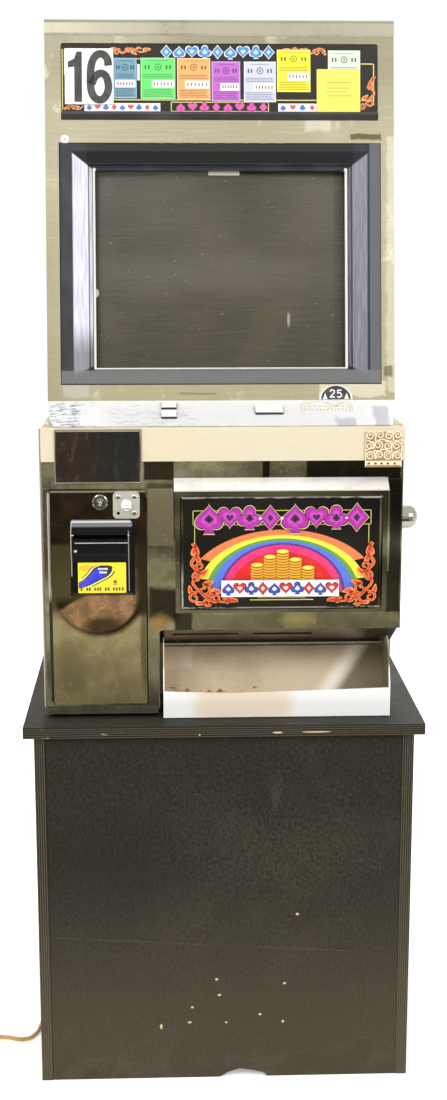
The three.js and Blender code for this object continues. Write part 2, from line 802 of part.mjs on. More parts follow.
function buildUpperFace() {
  const face = faceGroup(deckRun, deckTop, faceLean);
  const bezelLeft = -halfUpper + bezelMargin;
  const bezelRight = halfUpper - bezelMargin;
  const bezelTop = faceSill + bezelHeight;
  const glassBottom = bezelTop + faceBar;
  const glassTop = glassBottom + marqueeHeight;
  const marqueeX = halfUpper - marqueeMargin;
  const pan = box(-halfUpper, halfUpper, 0, faceLength, -faceDepth, 0);
  const inner = halfUpper - sheet;
  const pocket = box(-inner, inner, sheet, faceLength - sheet, -faceDepth - 1, -sheet);
  const bezelOpening = box(bezelLeft - 1, bezelRight + 1, faceSill - 1, bezelTop + 1, -5, 5);
  const marqueeOpening = slab(rounded(-marqueeX, marqueeX, glassBottom, glassTop, 4), -5, 5);
  add(face, "upper_face", cut(pan, pocket, bezelOpening, marqueeOpening), "chrome");

  const trimHeight = 22.5;
  const trim = slab(outline([
    [gap, faceLength - trimHeight],
    [3, faceLength - trimHeight + 3],
    [3, faceLength - 5],
    [gap, faceLength],
  ]), -halfUpper, halfUpper);
  const swap = new THREE.Matrix4().makeBasis(
    new THREE.Vector3(0, 0, 1),
    new THREE.Vector3(0, 1, 0),
    new THREE.Vector3(-1, 0, 0),
  );
  add(face, "top_trim", trim.applyMatrix4(swap), "steel");
  const ledge = slab(outline([
    [gap, glassBottom - 11],
    [2, glassBottom - 11],
    [5, glassBottom - 4],
    [5, glassBottom - gap],
    [gap, glassBottom - gap],
  ]), -marqueeX, marqueeX);
  add(face, "marquee_ledge", ledge.applyMatrix4(swap), "charcoal");

  const glassLap = 8;
  const glass = box(
    -marqueeX - glassLap,
    marqueeX + glassLap,
    glassBottom - glassLap,
    glassTop + glassLap,
    -sheet - gap - 4,
    -sheet - gap,
  );
  add(face, "marquee_glass", glass, "art");
  const lampUp = (glassBottom + glassTop) / 2;
  const lamp = disc(13, -marqueeX + 10, marqueeX - 10, 16).rotateY(Math.PI / 2).translate(0, lampUp, -40);
  add(face, "marquee_lamp", lamp, "white");
  buildMonitor(face, [bezelLeft, bezelRight, faceSill, bezelTop]);
}

function buildMonitor(face, outer) {
  const inner = [outer[0] + bezelSide, outer[1] - bezelSide, outer[2] + bezelFoot, outer[3] - bezelHead];
  const bezel = mitredFrame(outer, inner, [
    [1, -18],
    [1, -9],
    [0.93, -6.5],
    [0.88, -8.5],
    [0.84, -8.5],
    [0.8, -4],
    [0.36, 3],
    [0.3, 3.5],
    [0.05, 3.5],
    [0, 2],
    [0, -18],
  ]);
  add(face, "monitor_bezel", bezel, "charcoal");

  const lap = 5;
  const width = inner[1] - inner[0] + lap * 2;
  const height = inner[3] - inner[2] + lap * 2;
  const midX = (inner[0] + inner[1]) / 2;
  const midUp = (inner[2] + inner[3]) / 2;
  const crown = 8;
  const glassBack = -40;
  const front = -18 - gap;
  const across = 10;
  const up = 8;
  const surface = new THREE.PlaneGeometry(width, height, across, up);
  const points = surface.getAttribute("position");
  for (let i = 0; i < points.count; i += 1) {
    const u = points.getX(i) / (width / 2);
    const v = points.getY(i) / (height / 2);
    points.setZ(i, front - crown + crown * (1 - u * u * 0.5 - v * v * 0.5));
  }
  const faceplate = closeBack(surface, glassBack).translate(midX, midUp, 0);
  add(face, "monitor_glass", faceplate, "screen");

  const ring = (half, halfUp, radius, depth) => {
    const sides = 24;
    return Array.from({ length: sides }, (_, i) => {
      const angle = (i / sides) * Math.PI * 2;
      const c = Math.cos(angle);
      const s = Math.sin(angle);
      const stretch = radius ? radius : Math.min(half / Math.abs(c || 1e-9), halfUp / Math.abs(s || 1e-9));
      return [midX + c * stretch, midUp + s * stretch, depth];
    });
  };
  const tube = loft([
    ring(0, 0, 16, glassBack - tubeDepth),
    ring(0, 0, 16, glassBack - tubeDepth * 0.65),
    ring(0, 0, 45, glassBack - tubeDepth * 0.55),
    ring(width * 0.38, height * 0.38, 0, glassBack - tubeDepth * 0.26),
    ring(width * 0.48, height * 0.48, 0, glassBack - 20),
    ring(width * 0.48, height * 0.48, 0, glassBack - gap),
  ]);
  add(face, "crt_tube", tube, "grey");
  const boardReach = cabinetDepth - 180;
  const board = join(
    box(-halfUpper + sheet + gap, halfUpper - sheet - gap, 5, 8, -boardReach, -70),
    box(-60, 60, 7.5, 28, 20 - boardReach, 100 - boardReach),
  );
  add(face, "monitor_board", board, "green");
}

// A curved front sheet given a flat back and side walls.
function closeBack(surface, backDepth) {
  const { widthSegments: across, heightSegments: up } = surface.parameters;
  const front = surface.getAttribute("position");
  const positions = Array.from(front.array);
  for (let i = 0; i < front.count; i += 1) positions.push(front.getX(i), front.getY(i), backDepth);
  const index = Array.from(surface.index.array);
  const count = front.count;
  for (let i = 0; i < surface.index.count; i += 3) {
    const [a, b, c] = [0, 1, 2].map((k) => surface.index.getX(i + k) + count);
    index.push(a, c, b);
  }
  const row = across + 1;
  const rim = [];
  for (let i = 0; i < across; i += 1) rim.push(i);
  for (let i = 0; i < up; i += 1) rim.push(i * row + across);
  for (let i = across; i > 0; i -= 1) rim.push(up * row + i);
  for (let i = up; i > 0; i -= 1) rim.push(i * row);
  rim.forEach((a, i) => {
    const b = rim[(i + 1) % rim.length];
    index.push(a, b, b + count);
    index.push(a, b + count, a + count);
  });
  const geometry = new THREE.BufferGeometry();
  geometry.setAttribute("position", new THREE.Float32BufferAttribute(positions, 3));
  geometry.setIndex(index);
  geometry.computeVertexNormals();
  return geometry;
}

// Inside the lower cabinet.
function buildInside() {
  const shelf = recessTop + sheet + gap;
  const hopperX = 110;
  const hopperY = 225;
  const halfHopper = 90;
  const left = hopperX - halfHopper;
  const right = hopperX + halfHopper;
  const discRadius = 75;
  const baseTop = shelf + 58;
  const base = cut(
    box(left, right, hopperY - halfHopper, hopperY + halfHopper, shelf, baseTop),
    disc(discRadius + 2, baseTop - 14, baseTop + 5).translate(hopperX, hopperY, 0),
    disc(6.3, baseTop - 34, baseTop - 13, 16).translate(hopperX, hopperY, 0),
  );
  add(machine, "hopper_base", base, "grey");
  const wheel = join(
    disc(discRadius, baseTop - 13.7, baseTop - 7),
    disc(6, baseTop - 33, baseTop - 13, 16),
    disc(14, baseTop - 8, baseTop + 4, 16),
  );
  const holes = Array.from({ length: 6 }, (_, i) => {
    const angle = (i / 6) * Math.PI * 2;
    return disc(14, baseTop - 20, baseTop, 16).translate(Math.cos(angle) * 52, Math.sin(angle) * 52, 0);
  });
  add(machine, "hopper_disc", cut(wheel, ...holes).translate(hopperX, hopperY, 0), "bright");
  const square = (half, z) => [[-half, -half], [half, -half], [half, half], [-half, half]]
    .map(([x, y]) => [hopperX + x, hopperY + y, z]);
  const bowlTop = baseTop + 130;
  const bowl = cut(
    loft([square(halfHopper - 8, baseTop + gap), square(halfHopper + 15, bowlTop)]),
    loft([square(halfHopper - 10.5, baseTop - 1), square(halfHopper + 12.9, bowlTop + 1)]),
  );
  add(machine, "hopper_bowl", bowl, "white");

  const floor = baseZ + sheet + gap;
  const supplyRight = halfWidth - 44;
  const logicLeft = -halfWidth + 19;
  const logicBack = cabinetDepth - 12;
  add(machine, "power_supply", box(supplyRight - 180, supplyRight, 200, 360, floor, floor + 90), "steel");
  const logic = box(logicLeft, logicLeft + 130, logicBack - 148, logicBack, floor, floor + 260);
  add(machine, "logic_box", logic, "steel");
}

// Back panel, fan and mains lead.
function buildBack() {
  const top = crownZ - 6;
  const bottom = baseZ + 4;
  const slots = [];
  for (let i = 0; i < 9; i += 1) {
    slots.push(box(-120 + i * 28, -108 + i * 28, -5, 5, top - 150, top - 50));
  }
  const glandHole = disc(5.5, -10, 10, 16).rotateX(Math.PI / 2).translate(glandX, 0, glandZ);
  const spokes = join(
    box(-2, 2, -5, 5, -fanHole - 3, fanHole + 3),
    box(-fanHole - 3, fanHole + 3, -5, 5, -2, 2),
  );
  const ring = (radius) => cut(disc(radius + 2, -1, 1), disc(radius - 2, -2, 2)).rotateX(Math.PI / 2);
  const fanCut = cut(disc(fanHole, -10, 10).rotateX(Math.PI / 2), spokes, ring(18), ring(36));
  const wide = halfWidth - 1;
  const narrow = halfUpper - 1;
  const step = lowerTop - 1;
  const blank = slab(outline([
    [-wide, bottom],
    [wide, bottom],
    [wide, step],
    [narrow, step],
    [narrow, top],
    [-narrow, top],
    [-narrow, step],
    [-wide, step],
  ]), -sheet / 2, sheet / 2).rotateX(Math.PI / 2);
  const panel = cut(
    blank,
    fanCut.translate(fanX, 0, fanZ),
    glandHole,
    ...slots,
  );
  const panelY = cabinetDepth + sheet / 2 + gap;
  add(machine, "back_panel", panel.translate(0, panelY, 0), "steel");

  const fanFront = cabinetDepth - fanDepth - gap;
  const frame = cut(
    box(fanX - fanHalf, fanX + fanHalf, fanFront, cabinetDepth - gap, fanZ - fanHalf, fanZ + fanHalf),
    disc(fanHole + 2, -fanHalf, fanHalf).rotateX(Math.PI / 2).translate(fanX, cabinetDepth, fanZ),
  );
  add(machine, "fan_frame", frame, "blackPlastic");
  const blades = Array.from({ length: 6 }, (_, i) =>
    box(-8, 8, -1.2, 1.2, 10, fanHole - 2).rotateZ(0.55).rotateY((i / 6) * Math.PI * 2));
  const hub = disc(20, -10, 10).rotateX(Math.PI / 2);
  const rotor = join(hub, ...blades).translate(fanX, fanFront + fanDepth / 2, fanZ);
  add(machine, "fan_rotor", rotor, "blackPlastic");
}

// Mains lead: its centre line where it isn't coiled. It leaves the gland, drops behind the
// stand, and comes forward on the floor beside the stand's left side.
const leadBack = cabinetDepth + glandLength; // the gland's end
const leadSide = -halfWidth - standOutset;
const leadFloor = leadRadius + 0.4;
const leadPoints = [
  [glandX, leadBack + 3, glandZ],
  [glandX, leadBack + 12, glandZ - 1],
  [glandX, leadBack + 22, glandZ - 6],
  [glandX, leadBack + 30, glandZ - 16],
  [glandX - 0.5, leadBack + 33.5, glandZ - 32],
  [glandX - 2, leadBack + 34, glandZ - 100],
  [glandX - 6, leadBack + 33, glandZ - 200],
  [glandX - 8, leadBack + 32.5, glandZ - 300],
  [glandX - 7, leadBack + 33, glandZ - 400],
  [glandX - 6, leadBack + 33.5, glandZ - 490],
  [glandX - 8, leadBack + 34, 62],
  [glandX - 14, leadBack + 35, 34],
  [glandX - 28, leadBack + 37, 13],
  [glandX - 48, leadBack + 38.5, 4.6],
  [leadSide + 49, leadBack + 38.5, leadFloor],
  [leadSide + 23, leadBack + 36, leadFloor],
  [leadSide, leadBack + 26, leadFloor],
  [leadSide - 14, leadBack + 6, leadFloor],
  [leadSide - 17, leadBack - 21, leadFloor],
  [leadSide - 14, leadBack - 115, leadFloor],
  [leadSide - 12, 310, leadFloor],
  [leadSide - 12, 230, leadFloor],
  [leadSide - 13, 160, leadFloor],
  [leadSide - 14, 118, leadFloor],
  [leadSide - 18, 92, leadFloor],
  [leadSide - 29, 73, leadFloor],
  [leadSide - 46, 70, leadFloor],
  [leadSide - 62, 76, leadFloor],
  [leadSide - 79, 78.5, leadFloor],
  [leadSide - 97, 78, leadFloor],
  [leadSide - 113.3, 78, leadFloor],
];
const coilX = leadSide - 137;
const coilY = 36;
const plugX = coilX - 42;
const plugTail = 4;

function buildLead() {
  const points = leadPoints.map((p) => new THREE.Vector3(...p));
  const extrudePath = new THREE.CatmullRomCurve3(points, false, "centripetal");
  const section = new THREE.Shape();
  section.absarc(0, 0, leadRadius, 0, Math.PI * 2);
  const lead = new THREE.ExtrudeGeometry(section, {
    steps: 76,
    extrudePath,
    curveSegments: 10,
    bevelEnabled: false,
  });
  add(machine, "mains_cord", lead, "ochre");
  const coil = turned([
    [coilInner, gap],
    [coilOuter, gap],
    [coilOuter, gap + coilHeight],
    [coilInner, gap + coilHeight],
    [coilInner, gap],
  ]).translate(coilX, coilY, 0);
  add(machine, "cord_coil", coil, "ochre");

  const gland = turned([
    [0, -6],
    [5, -6],
    [5, sheet + gap * 2],
    [9, sheet + gap * 2],
    [9, 8],
    [6.5, 10],
    [4.2, glandLength],
    [0, glandLength],
  ], 20).rotateX(-Math.PI / 2).translate(glandX, cabinetDepth, glandZ);
  add(machine, "cable_gland", gland, "rubber");

  const plugZ = 10.6;
  const body = turned([
    [0, 0],
    [4.3, 0],
    [6, 14],
    [10, 18],
    [10, plugLength],
    [0, plugLength],
  ], 16).scale(1.25, 1, 1);
  const blade = (x) => box(x - 0.8, x + 0.8, -3.2, 3.2, plugLength - 2, plugLength + 17);
  const earthPin = disc(2.3, plugLength - 2, plugLength + 19, 12).translate(0, 5, 0);
  const plug = join(body, blade(-6.3), blade(6.3), earthPin);
  add(machine, "mains_plug", plug.rotateX(Math.PI / 2).translate(plugX, plugTail, plugZ), "ochre");
}

buildStand();
buildLowerShell();
buildMainLock();
buildTray();
buildMainDoor();
buildBelly();
buildDoorTrim();
buildBillDoor();
buildDeck();
buildUpperShell();
buildUpperFace();
buildInside();
buildBack();
buildLead();
machine.position.y = faceY;

export default machine;
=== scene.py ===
# Looks for a worn video poker machine on a plywood stand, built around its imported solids.
import math

import bpy
import numpy as np
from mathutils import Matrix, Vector


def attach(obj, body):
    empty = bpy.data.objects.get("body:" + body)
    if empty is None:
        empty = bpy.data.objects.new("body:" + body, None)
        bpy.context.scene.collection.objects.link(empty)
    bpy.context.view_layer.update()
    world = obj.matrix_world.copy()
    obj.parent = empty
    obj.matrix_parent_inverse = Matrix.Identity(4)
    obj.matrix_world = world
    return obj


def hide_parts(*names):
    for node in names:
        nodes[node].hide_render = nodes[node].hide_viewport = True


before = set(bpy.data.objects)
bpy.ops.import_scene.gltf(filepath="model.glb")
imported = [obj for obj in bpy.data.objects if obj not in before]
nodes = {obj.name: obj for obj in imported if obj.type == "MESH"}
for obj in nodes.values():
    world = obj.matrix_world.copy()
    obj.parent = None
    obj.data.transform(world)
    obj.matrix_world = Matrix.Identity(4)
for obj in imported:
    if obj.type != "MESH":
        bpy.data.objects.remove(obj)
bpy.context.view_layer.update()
mm = 0.001


def say(stage):
    print("stage:", stage)


say("camera")
cameraValues = {
    "place": (-0.0777, -2.4264, 1.2410),
    "down": 11.56,  # degrees below level
    "right": 2.13,  # degrees towards +X
    "lens": 51.54,
    "shift": (-0.00245, -0.0005),
}


def makeCamera():
    data = bpy.data.cameras.new("camera")
    data.lens = cameraValues["lens"]
    data.sensor_width = 36
    data.shift_x, data.shift_y = cameraValues["shift"]
    data.clip_end = 100
    camera = bpy.data.objects.new("camera", data)
    camera.location = cameraValues["place"]
    tilt = math.radians(90 - cameraValues["down"])
    camera.rotation_euler = (tilt, 0, -math.radians(cameraValues["right"]))
    bpy.context.scene.collection.objects.link(camera)
    bpy.context.scene.camera = camera


makeCamera()


def rgb(red, green, blue):
    # screen values 0 to 255 as linear light
    share = np.array([red, green, blue]) / 255
    linear = np.where(share <= 0.04045, share / 12.92, ((share + 0.055) / 1.055) ** 2.4)
    return tuple(float(v) for v in linear)


class Wire:
    # one output socket of a finish; the signs and words below add Math nodes to it
    signs = {"add": "ADD", "sub": "SUBTRACT", "mul": "MULTIPLY", "truediv": "DIVIDE", "pow": "POWER"}
    words = {"__gt__": "GREATER_THAN", "__lt__": "LESS_THAN", "sine": "SINE", "size": "ABSOLUTE",
             "most": "MAXIMUM"}

    def __init__(self, finish, socket):
        self.finish = finish
        self.socket = socket

    def maths(self, operation, *values):
        inputs = dict(enumerate(values))
        return self.finish.node("ShaderNodeMath", {"operation": operation}, inputs)

    def step(self, low, high):
        # 0 at low, 1 at high, smooth between
        return self.finish.node(
            "ShaderNodeMapRange",
            {"interpolation_type": "SMOOTHSTEP"},
            {"Value": self, "From Min": low, "From Max": high},
        )


for sign, operation in Wire.signs.items():
    setattr(Wire, f"__{sign}__", lambda self, other, kind=operation: self.maths(kind, self, other))
    setattr(Wire, f"__r{sign}__", lambda self, other, kind=operation: self.maths(kind, other, self))
for word, operation in Wire.words.items():
    setattr(Wire, word, lambda self, *other, kind=operation: self.maths(kind, self, *other))


class Finish:
    # a material under construction

    def __init__(self, name):
        self.material = bpy.data.materials.new(name)
        self.material.use_nodes = True
        self.tree = self.material.node_tree
        self.tree.nodes.clear()
        self.where = self.node("ShaderNodeTexCoord", output="Object")
        self.x, self.y, self.z = (self.axis(which) for which in "XYZ")

    def node(self, kind, settings=None, inputs=None, output=0):
        made = self.tree.nodes.new(kind)
        for key, value in (settings or {}).items():
            if key == "stops":
                self.setStops(made.color_ramp, value)
            else:
                setattr(made, key, value)
        for key, value in (inputs or {}).items():
            if isinstance(value, Wire):
                self.tree.links.new(value.socket, made.inputs[key])
            elif value is not None:
                made.inputs[key].default_value = value
        return Wire(self, made.outputs[output]) if made.outputs else None

    def setStops(self, ramp, stops):
        while len(ramp.elements) > len(stops):
            ramp.elements.remove(ramp.elements[-1])
        while len(ramp.elements) < len(stops):
            ramp.elements.new(1)
        for element, (place, colour) in zip(ramp.elements, stops):
            element.position = place
            element.color = (*colour, 1)

    def spread(self, stretch, turn=(0, 0, 0)):
        return self.node("ShaderNodeMapping", {}, {"Vector": self.where, "Scale": stretch, "Rotation": turn})

    def noise(self, scale, detail=3, seed=0, rough=0.5, stretch=(1, 1, 1), turn=(0, 0, 0)):
        # noise value, scale in features per metre; stretch squeezes it along an axis
        return self.node(
            "ShaderNodeTexNoise",
            {"noise_dimensions": "4D"},
            {
                "Vector": self.spread(stretch, turn),
                "Scale": scale,
                "Detail": detail,
                "W": seed,
                "Roughness": rough,
            },
        )

    def specks(self, scale, radius, stretch=(1, 1, 1), keep=1.0):
        # 1 inside small round specks, radius in cell widths; keep is the share of cells that have one
        cells = {"Vector": self.spread(stretch), "Scale": scale}
        near = self.node("ShaderNodeTexVoronoi", {}, cells, "Distance")
        colour = self.node("ShaderNodeTexVoronoi", {}, cells, "Color")
        pick = self.node("ShaderNodeSeparateColor", {}, {"Color": colour})
        return near.step(radius, radius * 0.6) * (pick < keep)

    def axis(self, which):
        return self.node("ShaderNodeSeparateXYZ", {}, {"Vector": self.where}, which)

    def between(self, value, low, high, soft=1.0):
        # 1 between two places in millimetres, fading over soft at both ends
        a, b, half = low * mm, high * mm, soft * mm / 2
        return value.step(a - half, a + half) * value.step(b + half, b - half)

    def patch(self, x0, x1, z0, z1, soft=1.0, rag=0.0):
        # a rectangle seen from the front, in millimetres; rag is how far noise pushes its edges
        x, z = self.x, self.z
        if rag:
            x = x + (self.noise(45, 4, x0, 0.6) - 0.5) * (rag * 4 * mm)
            z = z + (self.noise(45, 4, z0, 0.6) - 0.5) * (rag * 4 * mm)
        return self.between(x, x0, x1, soft) * self.between(z, z0, z1, soft)

    def blot(self, x, z, across, up, soft=0.3, rag=0.0):
        # an oval seen from the front, in millimetres: square root of the two scaled distances squared
        a = (self.x - x * mm) / (across * mm)
        b = (self.z - z * mm) / (up * mm)
        reach = (a * a + b * b) ** 0.5
        if rag:
            reach = reach + (self.noise(50, 4, x, 0.6) - 0.5) * (rag * 4)
        return reach.step(1 + soft, 1 - soft)

    def patches(self, *marks):
        # the strongest of several patches, each (strength, the numbers of a patch)
        whole = 0.0
        for strength, *place in marks:
            whole = (self.patch(*place) * strength).most(whole)
        return whole

    def mix(self, mask, first, second):
        # colour first where mask is 0, second where it is 1
        def full(value):
            return value if isinstance(value, Wire) else (*value, 1)
        return self.node(
            "ShaderNodeMix",
            {"data_type": "RGBA"},
            {0: mask, 6: full(first), 7: full(second)},
            2,
        )

    def paint(self, base, marks):
        # lays marks (mask, colour) over base in turn
        for mask, tone in marks:
            base = self.mix(mask, base, tone)
        return base

    def ramp(self, value, stops):
        return self.node("ShaderNodeValToRGB", {"stops": stops}, {"Fac": value})

    def bump(self, height, distance, strength=1.0):
        return self.node("ShaderNodeBump", {}, {"Height": height, "Distance": distance, "Strength": strength})

    def surface(self, inputs):
        # closes the material with one Principled shader
        ready = {k: (*v, 1) if isinstance(v, tuple) and len(v) == 3 else v for k, v in inputs.items()}
        shader = self.node("ShaderNodeBsdfPrincipled", {}, ready)
        self.node("ShaderNodeOutputMaterial", {}, {"Surface": shader})
        return self.material


def wear(names, make, *given, **more):
    # makes one material and gives it to the named CAD nodes
    finish = make(*given, **more)
    for name in names.split():
        slots = nodes[name].data.materials
        slots.clear()
        slots.append(finish)
    return finish


say("metals")
steelValues = {
    "tone": (0.66, 0.63, 0.55),
    "dullTone": (0.47, 0.43, 0.34),
    "roughness": 0.10,
    "smear": 0.16,  # extra roughness in handled patches
    "waves": 0.0009,  # height of the sheet's slow ripples, metres
    "scratch": 0.000004,
}


def polishedSteel(name, grain, tone=None, roughness=None, waves=None, smear=None, tarnish=None):
    # grain is the stretch of the polishing lines: 1 along them, large across them
    made = Finish(name)
    tone = tone or steelValues["tone"]
    roughness = steelValues["roughness"] if roughness is None else roughness
    smear = steelValues["smear"] if smear is None else smear
    waves = steelValues["waves"] if waves is None else waves
    lines = made.noise(14, 4, 1, stretch=grain)
    fine = made.noise(60, 3, 2, stretch=grain)
    cloud = made.noise(7, 4, 3)
    patch = cloud.step(0.50, 0.72)
    hands = made.noise(19, 5, 5, 0.65, stretch=(1, 1, 0.7)).step(0.57, 0.70)
    pits = made.specks(260, 0.22, keep=0.10)
    base = made.mix(patch * 0.55, tone, steelValues["dullTone"])
    base = made.paint(base, [
        (lines.step(0.46, 0.75) * 0.20, (0.86, 0.84, 0.78)),
        (hands * 0.25, (0.80, 0.78, 0.74)),
        (pits * 0.5, (0.20, 0.15, 0.10)),
    ])
    # marks, painted reflections and painted light laid on by the caller
    if tarnish:
        base = tarnish(made, base)
    rough = roughness + patch * smear * 0.5 + hands * smear + (fine - 0.5) * 0.05 + pits * 0.3
    slow = made.noise(4.2, 1, 7)
    height = slow * waves + (fine + lines) * steelValues["scratch"]
    return made.surface({
        "Base Color": base,
        "Metallic": 1.0 - pits * 0.6,
        "Roughness": rough,
        "Normal": made.bump(height, 1.0),
    })


def billDoorPaintedReflections(made, base):
    # painted reflections: near-black above the slot, dark olive beside it, a tan bowl with a dark rim under
    # it; painted highlight lines along the edges
    x, z = made.x, made.z
    wander = (made.noise(24, 4, 21, 0.6) - 0.5) * 0.016
    mottle = made.noise(38, 4, 22, 0.65)
    fine = made.noise(160, 3, 23, 0.7)
    side = (z + wander).step(0.690, 0.712)
    top = (z + wander * 0.5).step(0.798, 0.806)
    bowl = made.blot(-180, 738, 62, 63, 0.05) * (z + wander - (x + 0.2365) * 0.62).step(0.706, 0.700)
    # painted highlights: bright lines along the bottom, top and right edges
    rims = made.patches(
        (1, -246, -107, 566.2, 569.0, 0.8), (0.7, -246, -107, 876.6, 879.4, 0.8),
        (0.75, -109.6, -106.2, 566, 880, 0.8),
    )
    return made.paint(base, [
        (mottle.step(0.35, 0.65) * 0.40, (0.52, 0.42, 0.24)),
        (made.blot(-222, 620, 24, 44, 0.6, 0.1) * 0.45, (0.30, 0.29, 0.15)),
        (fine.step(0.52, 0.66) * 0.25, (0.46, 0.36, 0.18)),
        (side * 0.90, (0.16, 0.14, 0.07)),
        (made.blot(-176, 737, 66, 68, 0.08) * (z + wander).step(0.735, 0.71), (0.05, 0.035, 0.02)),
        (bowl, made.mix(mottle.step(0.35, 0.6), (1.0, 0.62, 0.43), (0.60, 0.36, 0.25))),
        (made.blot(-172, 684, 26, 12, 0.5, 0.1) * 0.85, (0.07, 0.05, 0.03)),
        (made.patch(-127, -100, 700, 806, 12, 1.5) * 0.85, (0.08, 0.06, 0.04)),
        (top * 0.95, made.mix(mottle.step(0.4, 0.6), (0.045, 0.033, 0.024), (0.085, 0.055, 0.038))),
        (made.blot(-112, 660, 7, 70, 0.4) * 0.6, (0.10, 0.085, 0.05)),
        (rims, (1.0, 0.97, 0.88)),
    ])


def doorPaintedReflections(made, base):
    # painted reflections: dark zones along the top, in the column and at the right edge, tan and yellow marks
    # low down; a painted highlight line down the right edge
    dark = (0.030, 0.024, 0.018)
    mottle = made.noise(34, 4, 31, 0.65)
    head = made.patches(
        (1, -112, -70, 893, 925, 3, 1.0), (1, 55, 65, 893, 925, 2), (1, 117, 250, 893, 925, 4, 0.6),
    )
    column = made.patches((1, -108, -64, 690, 738, 12, 3.0), (0.75, -108, -66, 806, 890, 12, 3.0))
    return made.paint(base, [
        (mottle.step(0.40, 0.66) * 0.5, (0.26, 0.24, 0.13)),
        (head * 0.93, dark),
        (column * 0.93, dark),
        (made.blot(-88, 806, 14, 9, 0.5, 0.4) * 0.7, (0.62, 0.36, 0.20)),
        (made.blot(-92, 688, 17, 10, 0.7, 0.6) * 0.9, (0.80, 0.50, 0.24)),
        (made.patch(-70, -44, 672, 706, 6, 2.0) * 0.9, (0.04, 0.04, 0.03)),
        (made.patch(-44, 88, 676, 700, 6, 2.5) * 0.55, (0.19, 0.20, 0.11)),
        (made.blot(112, 690, 24, 10, 0.7, 0.3) * 0.9, (1.0, 0.90, 0.46)),
        (made.patch(134, 238, 680, 704, 6, 3.0) * 0.45, (0.36, 0.35, 0.28)),
        (made.patch(231.5, 252, 700, 893, 2, 1.0) * 0.88, (0.045, 0.045, 0.035)),
        # painted highlight down the right edge
        (made.patch(233, 236, 760, 878, 1.4, 0.6) * 0.8, (0.95, 0.93, 0.85)),
    ])


def shellMottleAndPaintedLight(made, base):
    # olive mottling, stronger on the front than on the flanks; a painted lit strip along the foot with a
    # painted highlight line at its bottom
    mottle = made.noise(30, 4, 41, 0.65)
    facing = made.y.step(-0.225, -0.236)
    return made.paint(base, [
        (mottle.step(0.36, 0.62) * (facing * 0.35 + 0.25), (0.30, 0.25, 0.12)),
        (made.z.step(0.568, 0.566) * 0.9, (1.0, 0.92, 0.66)),
        (made.z.step(0.5548, 0.5536) * 0.8, (1.0, 1.0, 0.95)),
    ])


def facePatches(made, base):
    # pale patches by the glass, round the badge and down the right edge; darker towards the left and the top;
    # a brown mark under the glass
    x, z = made.x, made.z
    pale = (0.86, 0.84, 0.76)
    return made.paint(base, [
        (x.step(-0.20, -0.26) * 0.35, (0.30, 0.28, 0.19)),
        (z.step(1.39, 1.47) * 0.40, (0.27, 0.25, 0.18)),
        (made.patch(122, 158, 1375, 1408, 8, 4.0) * 0.55, pale),
        (made.patch(140, 236, 1003, 1024, 5, 4.0) * 0.85, pale),
        (made.patch(-228, -190, 1003, 1026, 6, 4.0) * 0.5, (0.72, 0.72, 0.74)),
        (made.patch(238, 260, 1010, 1370, 5, 4.0) * 0.55, pale),
        (made.patch(186, 231, 1364, 1372, 3, 2.0) * 0.85, (0.15, 0.10, 0.05)),
        (made.patch(234, 246, 1030, 1046, 4, 3.0) * 0.7, (0.14, 0.11, 0.07)),
        (made.patch(-60, -8, 1006, 1009, 2, 1.5) * 0.6, (0.30, 0.20, 0.12)),
    ])


level = (1, 30, 30)  # polished along X
upright = (30, 30, 1)  # polished along Z
wear("upper_face", polishedSteel, "faceSteel", level, (0.52, 0.49, 0.37), 0.22, 0.0002, 0.22, facePatches)
wear("lower_shell upper_shell", polishedSteel, "shellSteel", upright, roughness=0.2, tarnish=shellMottleAndPaintedLight)
wear("main_door", polishedSteel, "doorSteel", level, roughness=0.06, waves=0.0012, smear=0.08,
     tarnish=doorPaintedReflections)
wear("bill_door", polishedSteel, "billDoorSteel", upright, (1.0, 0.88, 0.62), 0.15, 0.0008, 0.08,
     billDoorPaintedReflections)
wear("belly_frame meter_window_frame", polishedSteel, "frameSteel", level, (0.30, 0.28, 0.23), 0.05, 0.0006,
     0.05)
wear("lock_strip", polishedSteel, "stripSteel", upright, (0.60, 0.54, 0.44), 0.12, 0.0006, 0.1)


def deckWear(made, base):
    # blue-grey rubbed ends and small grey patches
    rub = made.noise(75, 5, 51, 0.7, stretch=(1, 3, 3), turn=(0, 0.5, 0)).step(0.46, 0.60)
    return made.paint(base, [
        (made.patch(-252, -178, 966, 996, 10, 5.0) * rub, (0.36, 0.37, 0.47)),
        (made.patch(-160, -40, 970, 990, 16, 7.0) * rub * 0.45, (0.50, 0.51, 0.58)),
        (made.patch(158, 186, 966, 978, 6, 4.0) * 0.6, (0.45, 0.46, 0.54)),
        (made.patch(214, 236, 968, 990, 6, 4.0) * 0.6, (0.40, 0.41, 0.50)),
        (made.patch(-201, -174, 970, 992, 2.0, 0.8) * 0.9, (1.0, 1.0, 1.0)),
    ])


def shadedCapWalls(made, base):
    # painted shade: dark sides below the cap's top, measured along the deck's own normal
    out = (made.y + 0.238) * -0.416 + (made.z - 0.968) * 0.909
    return made.mix(out.step(0.0038, 0.0034), base, (0.02, 0.02, 0.018))


def platedMetal(name, tone, roughness, marks, seed=0.0, depth=0.00003, metal=1.0, stainsAndPaintedLight=None):
    # bright plating with cloudy wear and short scratches
    made = Finish(name)
    cloud = made.noise(26, 5, seed + 1.0).step(0.47, 0.63)
    streak = made.noise(40, 4, seed + 2.0, stretch=(1, 14, 14), turn=(0, 0.12, 0)).step(0.60, 0.72)
    fleck = made.specks(330, 0.3, keep=0.12)
    worn = (cloud * 0.5).most(streak * 0.8).most(fleck)
    base = made.mix(worn * marks, tone, (0.16, 0.15, 0.14))
    # wear marks and painted shade laid on by the caller
    if stainsAndPaintedLight:
        base = stainsAndPaintedLight(made, base)
    return made.surface({
        "Base Color": base,
        "Metallic": metal,
        "Roughness": roughness + worn * 0.25,
        "Normal": made.bump(streak + fleck, depth, 0.7),
    })


